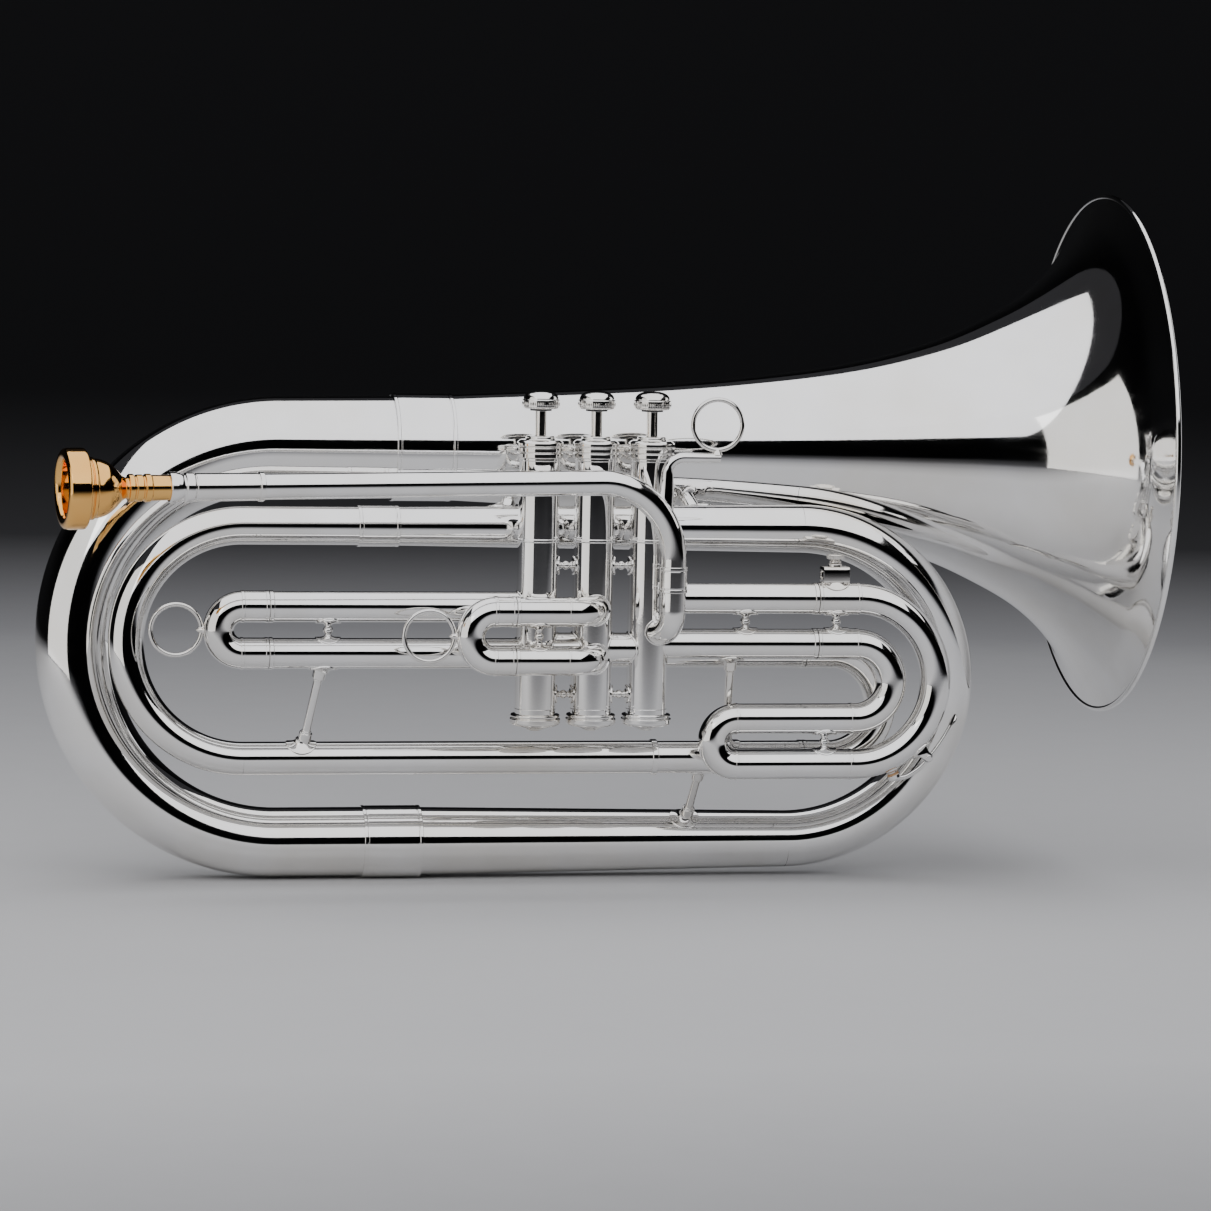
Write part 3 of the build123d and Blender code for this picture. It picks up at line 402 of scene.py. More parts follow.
def felt_material():
    paint = Paint("felt", Metallic=0.0, Roughness=0.95)
    fibres = paint.noise(1400.0, 5.0, 0.75)
    paint.colour(paint.ramp(fibres, (0.3, (0.03, 0.03, 0.032)), (0.7, (0.12, 0.12, 0.125))))
    paint.bump(fibres, 0.8, 0.0004)
    return paint.material


def cork_material():
    paint = Paint("cork", Metallic=0.0)
    grains = paint.cells(1100.0)
    fleck = paint.noise(700.0, 4.0, 0.7)
    base = paint.ramp(grains, (0.05, (0.30, 0.15, 0.07)), (0.6, (0.62, 0.38, 0.20)))
    paint.colour(paint.mix(paint.span(fleck, 0.0, 0.8, 0.5, 0.75), base, (0.16, 0.07, 0.035)))
    paint.rough(paint.span(fleck, 0.65, 0.9))
    paint.bump(grains, 0.5, 0.0003)
    return paint.material


felt = felt_material()
cork = cork_material()

for name, node in frame["nodes"].items():
    if name.startswith("piston_felts"):
        look = felt
    elif name == "water_key_cork":
        look = cork
    elif name.startswith("valve_spring") or name == "water_key_spring":
        look = steel
    elif name == "mouthpiece":
        look = gold
    elif name.startswith("piston") or name.endswith("inner_tubes") or name == "valve_guides":
        look = nickel
    else:
        look = silver
    node.data.materials.clear()
    node.data.materials.append(look)
    smooth = [True] * len(node.data.polygons)
    node.data.polygons.foreach_set("use_smooth", smooth)


# ---------------------------------------------------------------- bell and bows

WALL = 0.7
BELL = (66.0, 61.4)
MIDDLE = (28.0, 25.2)
LOWER = (18.0, -86.4)
BOTTOM = (48.0, -131.3)
BELL_STATIONS = [(-75.2, 25.4), (35, 31.2), (90, 36.2), (142, 43.8), (183, 54.8),
                 (210, 66.6), (232, 79.2), (250, 94.8), (263, 111.6), (271.5, 129.0)]
RIM_WIRE_R = 1.48
LOWER_R, MIDDLE_START_R, MIDDLE_END_R = 8.1, 9.2, 11.8
RIGHT_BOW_END_R, BOTTOM_END_R = 14.0, 16.9
OUTER_BOW_MID_R, OUTER_BOW_END_R = 19.17, 25.38
INNER_BOW_X, RIGHT_BOW_X, OUTER_BOW_X = -166.6, 108.5, -147.3
LOWER_JOINT_X, MIDDLE_JOINT_X, BOTTOM_JOINT_X, BELL_JOINT_X = 35.0, -101.2, -89.8, -75.2


def on(yz, x):
    return Vector((x, yz[0], yz[1]))


def spread(values, count):
    """Numbers spaced evenly through a short list, smoothly."""
    made = []
    for i in range(count):
        t = i / (count - 1) * (len(values) - 1)
        k = min(int(t), len(values) - 2)
        made.append(values[k] + (values[k + 1] - values[k]) * (t - k))
    return made


def smooth_radii(first, mid, last, count):
    """A radius that grows through three values along a bow, as one curve."""
    made = []
    for i in range(count):
        t = i / (count - 1)
        made.append(first * (1 - t) * (1 - 2 * t) + mid * 4 * t * (1 - t) + last * t * (2 * t - 1))
    return made


def bell_pieces():
    outer = curve_through(BELL_STATIONS)
    inner = []
    for i, (x, r) in enumerate(outer):
        (xa, ra), (xb, rb) = outer[max(i - 1, 0)], outer[min(i + 1, len(outer) - 1)]
        slope = (rb - ra) / (xb - xa)
        length = math.hypot(1, slope)
        inner.append((x + WALL * slope / length, r - WALL / length))
    shape = Shape()
    shape.lathe(on(BELL, 0), X, outer + inner[::-1], seg=192)
    x, r = BELL_STATIONS[-1]
    wire = [(x + RIM_WIRE_R * 0.4 + RIM_WIRE_R * math.cos(a), r + RIM_WIRE_R * math.sin(a))
            for a in (2 * math.pi * k / 20 for k in range(20))]
    shape.lathe(on(BELL, 0), X, wire, seg=192)
    shape.finish("bell_with_rim", "body", "silver_plate", silver, "bell_stem", "bell_flare", "bell_rim")


def bow(name, node, start, end, outward, radii, lead=(), tail=()):
    """A bow with straight ends. lead and tail are (far X, far radius)."""
    path = half_circle(start, end, outward, 96)
    size = smooth_radii(*radii, len(path))
    if lead:
        run = straight(Vector((lead[0], start.y, start.z)), start)[:-1]
        path, size = run + path, spread([lead[1], radii[0]], len(run)) + size
    if tail:
        run = straight(end, Vector((tail[0], end.y, end.z)))[1:]
        path, size = path + run, size + spread([radii[2], tail[1]], len(run))
    shape = Shape()
    shape.pipe(path, size, seg=96)
    shape.finish(name, "body", "silver_plate", silver, node)


def branch(name, node, yz, x0, r0, x1, r1):
    shape = Shape()
    run = straight(on(yz, x0), on(yz, x1))
    sizes = [r0 + (r1 - r0) * (p.x - x0) / (x1 - x0) for p in run]
    shape.pipe(run, sizes, seg=96)
    shape.finish(name, "body", "silver_plate", silver, node)


bell_pieces()
bow("outer_bow_tube", "outer_bow", on(BOTTOM, OUTER_BOW_X), on(BELL, OUTER_BOW_X), -X,
    (BOTTOM_END_R, OUTER_BOW_MID_R, OUTER_BOW_END_R - 1.2),
    lead=(BOTTOM_JOINT_X, BOTTOM_END_R), tail=(BELL_JOINT_X - 0.2, OUTER_BOW_END_R))
bow("right_bow_tube", "right_bow", on(MIDDLE, RIGHT_BOW_X), on(BOTTOM, RIGHT_BOW_X), X,
    (MIDDLE_END_R, (MIDDLE_END_R + RIGHT_BOW_END_R) / 2, RIGHT_BOW_END_R))
bow("inner_bow_tube", "inner_bow", on(LOWER, INNER_BOW_X), on(MIDDLE, INNER_BOW_X), -X,
    (LOWER_R, (LOWER_R + MIDDLE_START_R) / 2, MIDDLE_START_R), tail=(MIDDLE_JOINT_X, MIDDLE_START_R))
branch("lower_branch_tube", "lower_branch", LOWER, INNER_BOW_X, LOWER_R, LOWER_JOINT_X, LOWER_R)
branch("middle_branch_tube", "middle_branch", MIDDLE, MIDDLE_JOINT_X, MIDDLE_START_R, RIGHT_BOW_X,
       MIDDLE_END_R)
branch("bottom_branch_tube", "bottom_branch", BOTTOM, RIGHT_BOW_X, RIGHT_BOW_END_R, BOTTOM_JOINT_X,
       BOTTOM_END_R)


def ferrule(shape, yz, low, high, bore, radius):
    shape.lathe(on(yz, 0), X, sleeve_profile(low, high, bore, radius), seg=96)


for name, node, yz in (("bell_joint_ferrule", "bell_ferrule", BELL),
                       ("bow_joint_ferrule", "bow_ferrule", BOTTOM)):
    low, high = span(node)
    radius = (high.z - low.z) / 2
    shape = Shape()
    ferrule(shape, yz, low.x, high.x, radius - 1.6, radius - 0.02)
    shape.finish(name, "body", "silver_plate", silver, node)


# ---------------------------------------------------------------- valves

CASING_R, CAP_R = 9.9, 11.2
PORT_R, SLIDE_R, INNER_R, BORE_R = 6.35, 7.35, 6.85, 6.35
SLIDE1_Z, SLIDE2_Z, SLIDE3_Z, SLIDE3_RETURN_Z = (-11.3, -33.7), (-11.9, -35.4), (-6.8, -29.0), (-87.9, -65.5)
SLIDE3_BEND_X = 131.3
KNUCKLE_Z, LEAD_PORT_Z = -31.0, -22.2
MAIN_Y, MAIN_Z, MAIN_R = 18.0, (-34.4, -86.4), 7.9
valve_x = [middle(f"valve_casing_{n}").x for n in (1, 2, 3)]


def weld(shape, x, z, direction, tube_r, post_r=CASING_R, bead=0.55):
    """A fine solder fillet where a tube meets an upright casing."""
    direction = Vector(direction).normalized()
    across = direction.cross(Z)
    points = []
    for k in range(96):
        a = 2 * math.pi * k / 96
        side = (tube_r + 0.15) * math.cos(a)
        reach = math.sqrt(max(post_r ** 2 - side ** 2, 0.01))
        points.append(Vector((x, 0, z)) + direction * reach + across * side
                      + Z * (tube_r + 0.15) * math.sin(a))
    shape.pipe(points, bead, seg=10, loop=True)


def casing(number):
    x = valve_x[number - 1]
    low, high = span(f"valve_casing_{number}")
    ring_z = 21.3
    bottom, top = low.z, high.z
    wall = CASING_R
    shape = Shape()
    shape.lathe((x, 0, 0), Z, soft([
        (bottom, 8.8), (bottom, 9.4), (bottom + 4.4, 9.4), (bottom + 4.4, wall), (bottom + 7.0, wall),
        (bottom + 7.15, wall - 0.15), (bottom + 7.3, wall), (ring_z - 0.75, wall),
        (ring_z - 0.5, wall + 0.35), (ring_z + 0.5, wall + 0.35), (ring_z + 0.75, wall), (top - 7.4, wall),
        (top - 7.2, wall + 0.25), (top - 6.0, wall + 0.25), (top - 6.0, 9.4), (top, 9.4),
        (top, 8.8)], 0.3), seg=96)
    shape.finish(f"casing_{number}", "body", "silver_plate", silver, f"valve_casing_{number}")


def top_caps():
    shape = Shape()
    low, high = span("top_caps")
    base, top = low.z, high.z
    for x in valve_x:
        shape.lathe((x, 0, 0), Z, soft([
            (base, 9.5), (base, CAP_R), (base + 2.2, CAP_R), (base + 2.45, CAP_R - 0.45),
            (base + 2.9, CAP_R - 0.45), (base + 3.1, CAP_R - 0.05), (base + 3.2, CAP_R - 0.05),
            (base + 4.9, CAP_R - 0.05), (base + 5.1, CAP_R - 0.45), (base + 5.5, CAP_R - 0.45),
            (base + 5.7, CAP_R), (base + 7.2, CAP_R), (base + 8.0, CAP_R - 0.7), (base + 8.6, 9.6),
            (base + 8.75, 7.4), (base + 9.3, 7.1), (top - 0.5, 7.1), (top, 6.6), (top, 2.82),
            (base + 6.0, 2.82), (base + 6.0, 9.5)], 0.28), seg=120)
        shape.lathe((x, 0, 0), Z, [(base + 3.2 + 1.5 * k / 9, CAP_R - 0.12 * (k in (0, 9)))
                                   for k in range(10)]
                    + [(base + 4.7, CAP_R - 0.8), (base + 3.2, CAP_R - 0.8)], seg=320,
                    grip=(40, 0.3, base + 3.2, base + 4.7))
    shape.finish("top_cap_set", "body", "silver_plate", silver_detail, "top_caps")


def bottom_caps():
    shape = Shape()
    low, high = span("bottom_caps")
    radius = (high.y - low.y) / 2
    top, tip = high.z, low.z
    for x in valve_x:
        shape.lathe((x, 0, 0), -Z, soft([
            (-top, 9.45), (-top, radius - 0.5), (-top + 0.5, radius - 0.3), (-top + 1.3, radius - 0.3),
            (-top + 1.5, radius - 0.9), (-top + 1.9, radius - 0.9), (-top + 2.1, radius),
            (-top + 4.3, radius), (-top + 4.8, radius - 0.4), (-top + 5.4, radius - 1.5), (-top + 6.1, 8.4),
            (-top + 6.7, 5.9), (-top + 6.9, 5.0), (-top + 7.2, 4.6), (-tip - 0.15, 2.4), (-tip, 0.05),
            (-top + 4.4, 0.05), (-top + 4.4, 9.45)],
            0.3), seg=120)
        rows = [(-top + 2.3 + 1.8 * k / 10, radius + 0.02) for k in range(11)]
        shape.lathe((x, 0, 0), -Z, [(-top + 2.2, radius - 0.9), *rows, (-top + 4.2, radius - 0.9)], seg=320,
                    grip=(40, 0.28, -top + 2.3, -top + 4.1))
    shape.finish("bottom_cap_set", "body", "silver_plate", silver_detail, "bottom_caps")


def button(number):
    x = valve_x[number - 1]
    low, high = span(f"finger_button_{number}")
    radius = (high.y - low.y) / 2
    top = high.z
    base = top - 8.7
    shape = Shape()
    shape.lathe((x, 0, 0), Z, soft([
        (low.z, 0.05), (low.z, 2.75), (base - 0.9, 2.75), (base - 0.4, 3.4), (base, 3.6),
        (base, radius - 1.2), (base + 0.5, radius - 0.5), (base + 0.8, radius - 0.5),
        (base + 0.9, radius - 0.15), (base + 4.3, radius - 0.15), (base + 4.4, radius - 0.7),
        (base + 5.0, radius - 0.7), (base + 6.2, radius - 1.1), (base + 7.3, radius - 2.1),
        (top - 0.65, radius - 3.6), (top - 0.12, radius - 5.6), (top, 0.05)], 0.5, closed=False),
                seg=120, closed=False)
    rows = [(base + 0.9 + 3.3 * k / 16, radius) for k in range(17)]
    shape.lathe((x, 0, 0), Z, [(base + 0.75, radius - 0.9), *rows, (base + 4.35, radius - 0.9)], seg=330,
                grip=(33, 0.34, base + 0.9, base + 4.2))
    shape.finish(f"button_{number}", f"valve_{number}", "silver_plate", silver_detail,
                 f"finger_button_{number}")


def spring_coil(number):
    """A coil that stands on its guide."""
    x = valve_x[number - 1]
    low, high = span(f"valve_spring_{number}")
    wire_r, pitch, steps = 0.45, 3.2, 40
    bottom, top, coil_r = low.z + wire_r, high.z - wire_r, (high.y - low.y) / 2 - wire_r
    count = round((top - bottom) / pitch * steps)
    points = [Vector((x, 0, bottom + (top - bottom) * k / count))
              + (X * math.cos(2 * math.pi * k / steps) + Y * math.sin(2 * math.pi * k / steps)) * coil_r
              for k in range(count + 1)]
    shape = Shape()
    shape.pipe(points, wire_r, seg=12)
    piece = shape.finish(f"spring_{number}", "body", "spring_wire", steel, f"valve_spring_{number}")
    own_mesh(piece)


def knuckle_tubes():
    shape = Shape()
    for left, right in zip(valve_x, valve_x[1:]):
        shape.lathe((0, 0, KNUCKLE_Z), X, [(left + 6, PORT_R), (left + 6, SLIDE_R), (right - 6, SLIDE_R),
                                           (right - 6, PORT_R)],
                    seg=64)
        weld(shape, left, KNUCKLE_Z, X, SLIDE_R)
        weld(shape, right, KNUCKLE_Z, -X, SLIDE_R)
    shape.finish("knuckle_tubes", "body", "silver_plate", silver, "valve_knuckles")


def baluster(shape, start, end, tube_axis, tube_r, pad_r, bead_r=2.5, neck_r=1.35):
    """A small post between two parallel tubes: a flange on each and a bead at its waist."""
    start, end = Vector(start), Vector(end)
    way = (end - start).normalized()
    gap = (end - start).length - 2 * tube_r
    rise = min(1.0, gap * 0.13)
    shape.saddle(start, tube_axis, way, tube_r, pad_r, neck_r + 0.35, rise)
    shape.saddle(end, tube_axis, -way, tube_r, pad_r, neck_r + 0.35, rise)
    half = gap / 2
    rows = [(-half + 0.3, neck_r + 0.5), (-bead_r - 0.2, neck_r), (-bead_r, neck_r)]
    rows += [(bead_r * 0.9 * math.sin(a), max(neck_r, bead_r * math.cos(a)))
             for a in (math.pi * (k / 12 - 0.5) * 0.84 for k in range(13))]
    rows += [(bead_r, neck_r), (bead_r + 0.2, neck_r), (half - 0.3, neck_r + 0.5)]
    shape.lathe((start + end) / 2, way, rows, seg=48, closed=False)


def casing_spools(shape):
    for left, right in zip(valve_x, valve_x[1:]):
        for z in (9.0, -53.4):
            baluster(shape, (left, 0, z), (right, 0, z), Z, CASING_R, 4.6, 2.1, 1.25)


for number in (1, 2, 3):
    casing(number)
    button(number)
    spring_coil(number)
top_caps()
bottom_caps()
knuckle_tubes()


# ---------------------------------------------------------------- slides

def slide_tube(shape, y, z, start, end, radius, bore):
    """A straight outer tube from inside a casing (start) to its open, beaded end."""
    sign = 1 if end > start else -1
    shape.lathe((0, y, z), X, soft([
        (start, bore), (start, radius), (end - sign * 2.0, radius), (end - sign * 1.8, radius + 0.4),
        (end, radius + 0.4), (end, bore)], 0.3), seg=80)


def outer_tubes(name, node, y, zs, start, end, radius, bore, x_valve):
    shape = Shape()
    for z in zs:
        slide_tube(shape, y, z, start, end, radius, bore)
        weld(shape, x_valve, z, X if end > start else -X, radius)
    shape.finish(name, "body", "silver_plate", silver, node)


def inner_tubes(name, body, node, y, zs, radius, bore):
    low, high = span(node)
    shape = Shape()
    for z in zs:
        shape.lathe((0, y, z), X, soft([(low.x, bore), (low.x, radius), (high.x, radius), (high.x, bore)],
                                       0.2), seg=64)
    shape.finish(name, body, "nickel_tube", nickel, node)


def crook_sleeve(shape, y, z, start, end, radius):
    """The ferrule of a crook, over the bend's end."""
    low, high = min(start, end), max(start, end)
    shape.lathe((0, y, z), X, soft([
        (low, radius - 0.6), (low, radius + 0.4), (low + 1.4, radius + 0.4), (low + 1.55, radius + 0.2),
        (high - 1.55, radius + 0.2), (high - 1.4, radius + 0.4), (high, radius + 0.4),
        (high, radius - 0.6)], 0.28), seg=80)


def crook(name, body, node, y, zs, start, bend, radius):
    shape = Shape()
    way = X if bend > start else -X
    path = straight((start, y, zs[0]), (bend, y, zs[0]))[:-1]
    path += half_circle((bend, y, zs[0]), (bend, y, zs[1]), way)
    path += straight((bend, y, zs[1]), (start, y, zs[1]))[1:]
    shape.pipe(path, radius, seg=80)
    for z in zs:
        crook_sleeve(shape, y, z, start, bend + way.x * 0.8, radius)
    shape.finish(name, body, "silver_plate", silver, node)


def wire_ring(node):
    """A finger ring of round wire, with its centre and radius."""
    low, high = span(node)
    wire = (high.y - low.y) / 2
    centre = (low + high) / 2
    radius = (high.z - low.z) / 2 - wire
    shape = Shape()
    points = [centre + Vector((math.cos(a), 0, math.sin(a))) * radius
              for a in (2 * math.pi * k / 96 for k in range(96))]
    shape.pipe(points, wire, seg=24, loop=True)
    return shape, centre, radius


def pull_ring(number):
    """The finger ring of a valve slide, on a turned foot."""
    shape, centre, radius = wire_ring(f"slide{number}_ring")
    foot = [(radius - 2.6, 0.1), (radius - 1.4, 1.3), (radius + 0.4, 1.9), (radius + 1.6, 2.6)]
    shape.lathe(centre, X, soft(foot, 0.4, closed=False), seg=32, closed=False)
    shape.finish(f"slide{number}_pull_ring", f"slide_{number}", "silver_plate", silver_detail,
                 f"slide{number}_ring")


x_end, x_bend = -157.0, -169.8
outer_tubes("slide1_outer", "slide1_outer_tubes", 0, SLIDE1_Z, valve_x[0] - 6, x_end, SLIDE_R, 6.9,
            valve_x[0])
inner_tubes("slide1_inner", "slide_1", "slide1_inner_tubes", 0, SLIDE1_Z, INNER_R, BORE_R)
crook("slide1_bow", "slide_1", "slide1_crook", 0, SLIDE1_Z, x_end - 0.3, x_bend, SLIDE_R)
pull_ring(1)

low, high = span("slide2_outer_tubes")
x_end, band_x, slide2_r, slide2_y = low.x, -14.9, SLIDE_R - 0.3, -18.0
shape = Shape()
for z in SLIDE2_Z:
    shape.pipe(rounded_path([(x_end + 0.2, slide2_y, z), (0, slide2_y, z), (0, -4, z)], 14.5), slide2_r,
               seg=80)
    shape.lathe((0, slide2_y, z), X, soft([(x_end, 6.6), (x_end, slide2_r + 0.4),
                                           (x_end + 1.6, slide2_r + 0.4), (x_end + 1.8, slide2_r),
                                           (x_end + 1.8, 6.6)], 0.3), seg=80)
    shape.lathe((band_x, slide2_y, z), X, soft([(-0.5, 6.6), (-0.5, slide2_r + 0.25), (0.5, slide2_r + 0.25),
                                                (0.5, 6.6)], 0.25), seg=80)
    weld(shape, 0, z, -Y, slide2_r)
shape.finish("slide2_outer", "body", "silver_plate", silver, "slide2_outer_tubes")
inner_tubes("slide2_inner", "slide_2", "slide2_inner_tubes", slide2_y, SLIDE2_Z, INNER_R - 0.3, BORE_R - 0.3)
crook("slide2_bow", "slide_2", "slide2_crook", slide2_y, SLIDE2_Z, x_end - 0.3, -50.7, slide2_r)
pull_ring(2)

x_end, x_bend, x_crook = 111.0, SLIDE3_BEND_X, 72.0
outer_tubes("slide3_outer", "slide3_outer_tubes", 0, SLIDE3_Z, valve_x[2] + 6, x_end, SLIDE_R, 6.9,
            valve_x[2])
inner_tubes("slide3_inner", "slide_3", "slide3_inner_tubes", 0, SLIDE3_Z, INNER_R, BORE_R)
shape = Shape()
(top0, top1), (back0, back1) = SLIDE3_Z, SLIDE3_RETURN_Z
path = straight((x_end + 0.3, 0, top0), (x_bend, 0, top0))[:-1]
path += half_circle((x_bend, 0, top0), (x_bend, 0, back0), X, 96)[:-1]
path += straight((x_bend, 0, back0), (x_crook, 0, back0))[:-1]
path += half_circle((x_crook, 0, back0), (x_crook, 0, back1), -X)[:-1]
path += straight((x_crook, 0, back1), (x_bend, 0, back1))[:-1]
path += half_circle((x_bend, 0, back1), (x_bend, 0, top1), X)[:-1]
path += straight((x_bend, 0, top1), (x_end + 0.3, 0, top1))
shape.pipe(path, SLIDE_R, seg=80)
for z in SLIDE3_Z:
    crook_sleeve(shape, 0, z, x_end + 0.3, x_bend + 0.8, SLIDE_R)
for z in SLIDE3_RETURN_Z:
    for x in (x_bend - 2, x_crook):
        shape.lathe((0, 0, z), X, soft([(x - 0.7, 6.4), (x - 0.7, SLIDE_R + 0.3), (x + 0.7, SLIDE_R + 0.3),
                                        (x + 0.7, 6.4)], 0.3), seg=80)
baluster(shape, (121, 0, top1), (121, 0, top0), X, SLIDE_R + 0.2, 6.2, 2.3)
baluster(shape, (116.5, 0, back0), (116.5, 0, back1), X, SLIDE_R, 6.2, 2.3)
shape.finish("slide3_bows", "slide_3", "silver_plate", silver, "slide3_outer_bow", "slide3_inner_bow")

x_end, x_bend, main_inner = 109.4, 122.5, 7.35
shape = Shape()
shape.pipe(rounded_path([(valve_x[0], 4, MAIN_Z[0]), (valve_x[0], MAIN_Y, MAIN_Z[0]),
                         (x_end - 0.2, MAIN_Y, MAIN_Z[0])],
                        13.9), MAIN_R, seg=80)
slide_tube(shape, MAIN_Y, MAIN_Z[0], 60.0, x_end, MAIN_R + 0.01, 7.4)
weld(shape, valve_x[0], MAIN_Z[0], Y, MAIN_R)
shape.finish("main_upper_tube", "body", "silver_plate", silver, "main_slide_upper_tube")
shape = Shape()
slide_tube(shape, MAIN_Y, MAIN_Z[1], 35.0, x_end, MAIN_R, 7.4)
shape.finish("main_lower_tube", "body", "silver_plate", silver, "main_slide_lower_tube")
inner_tubes("main_inner", "tuning_slide", "main_slide_inner_tubes", MAIN_Y, MAIN_Z, main_inner, 6.85)
crook("main_bow", "tuning_slide", "main_slide_crook", MAIN_Y, MAIN_Z, x_end + 0.3, x_bend, MAIN_R)


# ---------------------------------------------------------------- leadpipe and mouthpiece

pull = next(j for j in frame["joints"] if j["name"] == "mouthpiece_pull")
lead_axis = -Vector(pull["axis"]).normalized()
LEAD_CORNER = Vector((35.3, -20.0, 50.9))
LEAD_R, LEAD_BEND_R, LEAD_JOINT_Z = 6.1, 37.5, 4.0
RIM_X, RECEIVER_START, RECEIVER_END = -261.0, 50.4, 95.4
rim = LEAD_CORNER - lead_axis * ((LEAD_CORNER.x - RIM_X) / lead_axis.x)
receiver_end = rim + lead_axis * RECEIVER_END
lead_top = Vector((LEAD_CORNER.x, LEAD_CORNER.y, LEAD_JOINT_Z))

shape = Shape()
shape.pipe(rounded_path([receiver_end, LEAD_CORNER, lead_top], LEAD_BEND_R, 64), LEAD_R, seg=80)
shape.finish("leadpipe_tube", "body", "silver_plate", silver, "leadpipe")

shape = Shape()
low, high = span("tube_ferrules")
shape.lathe(lead_top, Z, sleeve_profile(-6.2, 6.2, 5.6, LEAD_R + 0.7), seg=80)
shape.lathe(on(MIDDLE, low.x), X, sleeve_profile(0, 20.0, MIDDLE_START_R - 0.5, MIDDLE_START_R + 0.8), seg=80)
shape.lathe(on(LOWER, LOWER_JOINT_X), X, soft([(-1.5, LOWER_R - 0.5), (-1.5, LOWER_R + 0.7),
                                               (1.5, LOWER_R + 0.7), (1.5, LOWER_R - 0.5)], 0.5), seg=80)
shape.finish("tube_joint_ferrules", "body", "silver_plate", silver, "tube_ferrules")

# The elbow ends in the casing's wall, clear of the third piston.
elbow_end = 8.95
shape = Shape()
elbow = [lead_top, (lead_top.x, lead_top.y, LEAD_PORT_Z), (valve_x[2], 0, LEAD_PORT_Z)]
elbow[2] = Vector(elbow[2]) + (Vector(elbow[1]) - Vector(elbow[2])).normalized() * elbow_end
shape.pipe(rounded_path(elbow, 11.0, 56), LEAD_R, seg=80)
weld(shape, valve_x[2], LEAD_PORT_Z, (lead_top.x - valve_x[2], lead_top.y, 0), LEAD_R)
shape.finish("leadpipe_elbow_tube", "body", "silver_plate", silver, "leadpipe_elbow")

shape = Shape()
start, end = RECEIVER_START, RECEIVER_END
shape.lathe(rim, lead_axis, soft([
    (start, 5.95), (start, 6.9), (start + 0.6, 7.3), (start + 3.0, 7.3), (start + 5.4, 6.75),
    (start + 6.6, 6.2), (start + 7.2, 6.2), (start + 7.6, 6.8), (start + 8.1, 7.05), (start + 11.2, 7.05),
    (start + 11.8, 6.7), (start + 12.1, 6.4), (start + 12.4, 6.4), (start + 12.7, 6.7), (end - 3.0, 6.5),
    (end - 2.8, 6.35), (end - 2.4, 6.35), (end - 2.2, 7.0), (end, 7.0), (end, 5.5)], 0.35), seg=88)
shape.finish("receiver", "body", "silver_plate", silver_detail, "mouthpiece_receiver")

cup = [(2.4, 13.1), (0.9, 13.7), (0.15, 14.8), (0.0, 15.9), (0.25, 17.3), (1.0, 18.35), (2.2, 18.8)]
wall = [(3.6, 18.86), (9.6, 18.86), (10.3, 18.7), (10.75, 18.2), (10.85, 17.0), (10.9, 14.9), (11.5, 14.6),
        (12.3, 14.55), (12.6, 14.15), (12.9, 14.15), (13.2, 14.55), (14.4, 14.5), (15.0, 13.9), (16.5, 13.75),
        (18.5, 13.3), (20.8, 12.45), (23.0, 11.0), (25.0, 9.3), (26.8, 7.4), (28.2, 5.95), (29.4, 5.1),
        (30.5, 4.85)]
stem = [(31.0, 5.0), (31.2, 6.45), (31.5, 6.6), (33.3, 6.6), (33.7, 6.3), (33.9, 5.8), (34.5, 5.8),
        (34.8, 6.2), (35.1, 6.3), (37.4, 6.3), (37.8, 6.1), (38.0, 5.8), (38.6, 5.8), (38.8, 6.3),
        (39.2, 6.6), (41.3, 6.6), (41.7, 6.4), (42.0, 6.05), (75.6, 5.32), (76.0, 5.2), (76.0, 4.4),
        (32.0, 3.3), (27.0, 3.3), (24.5, 4.4), (21.5, 6.4), (17.5, 8.9), (13.5, 10.9), (9.5, 12.2),
        (5.5, 12.9)]
shape = Shape()
shape.lathe(rim, lead_axis, soft(cup + wall + stem, 0.5), seg=128)
shape.finish("gold_mouthpiece", "mouthpiece", "gold_plate", gold, "mouthpiece")

low, high = span("finger_hook")
hook_x, hook_y, hook_top = 31.5, -18.5, 62.5
shape = Shape()
path = rounded_path([(hook_x - 0.6, hook_y - 0.4, 36.0), (hook_x, hook_y, hook_top),
                     (high.x - 0.1, hook_y, hook_top)], 8.0, 32)
size = [3.9 - 1.35 * min(1.0, max(0.0, (p.z - 44) / 14)) - 0.25 * max(0.0, (p.x - 40) / 17) for p in path]
shape.pipe(path, size, seg=48)
shape.lathe(path[-1], X, soft([(-0.6, 0.1), (-0.6, size[-1] + 0.02), (0.05, size[-1] - 0.3), (0.1, 0.1)], 0.3,
                              closed=False), seg=48, closed=False)
shape.finish("hook_bar", "body", "silver_plate", silver, "finger_hook")
shape, centre, _ = wire_ring("finger_hook_ring")
foot = Vector((centre.x, centre.y, hook_top + 2.0))
shape.lathe(foot, Z, soft([(-0.4, 2.6), (0.8, 1.9), (1.9, 1.2), (2.6, 0.9)], 0.4, closed=False), seg=32,
            closed=False)
shape.finish("hook_ring", "body", "silver_plate", silver_detail, "finger_hook_ring")


# ---------------------------------------------------------------- lyre holder and water key

lyre_x, lyre_z = middle("lyre_holder").x, 4.9
bore_r = 2.6


def rounded_square(half_w, half_h, corner, count=10):
    made = []
    for quarter, (sx, sy) in enumerate(((1, 1), (-1, 1), (-1, -1), (1, -1))):
        for k in range(count + 1):
            a = math.pi / 2 * (quarter + k / count)
            made.append((sx * (half_w - corner) + corner * math.cos(a),
                         sy * (half_h - corner) + corner * math.sin(a)))
    return made


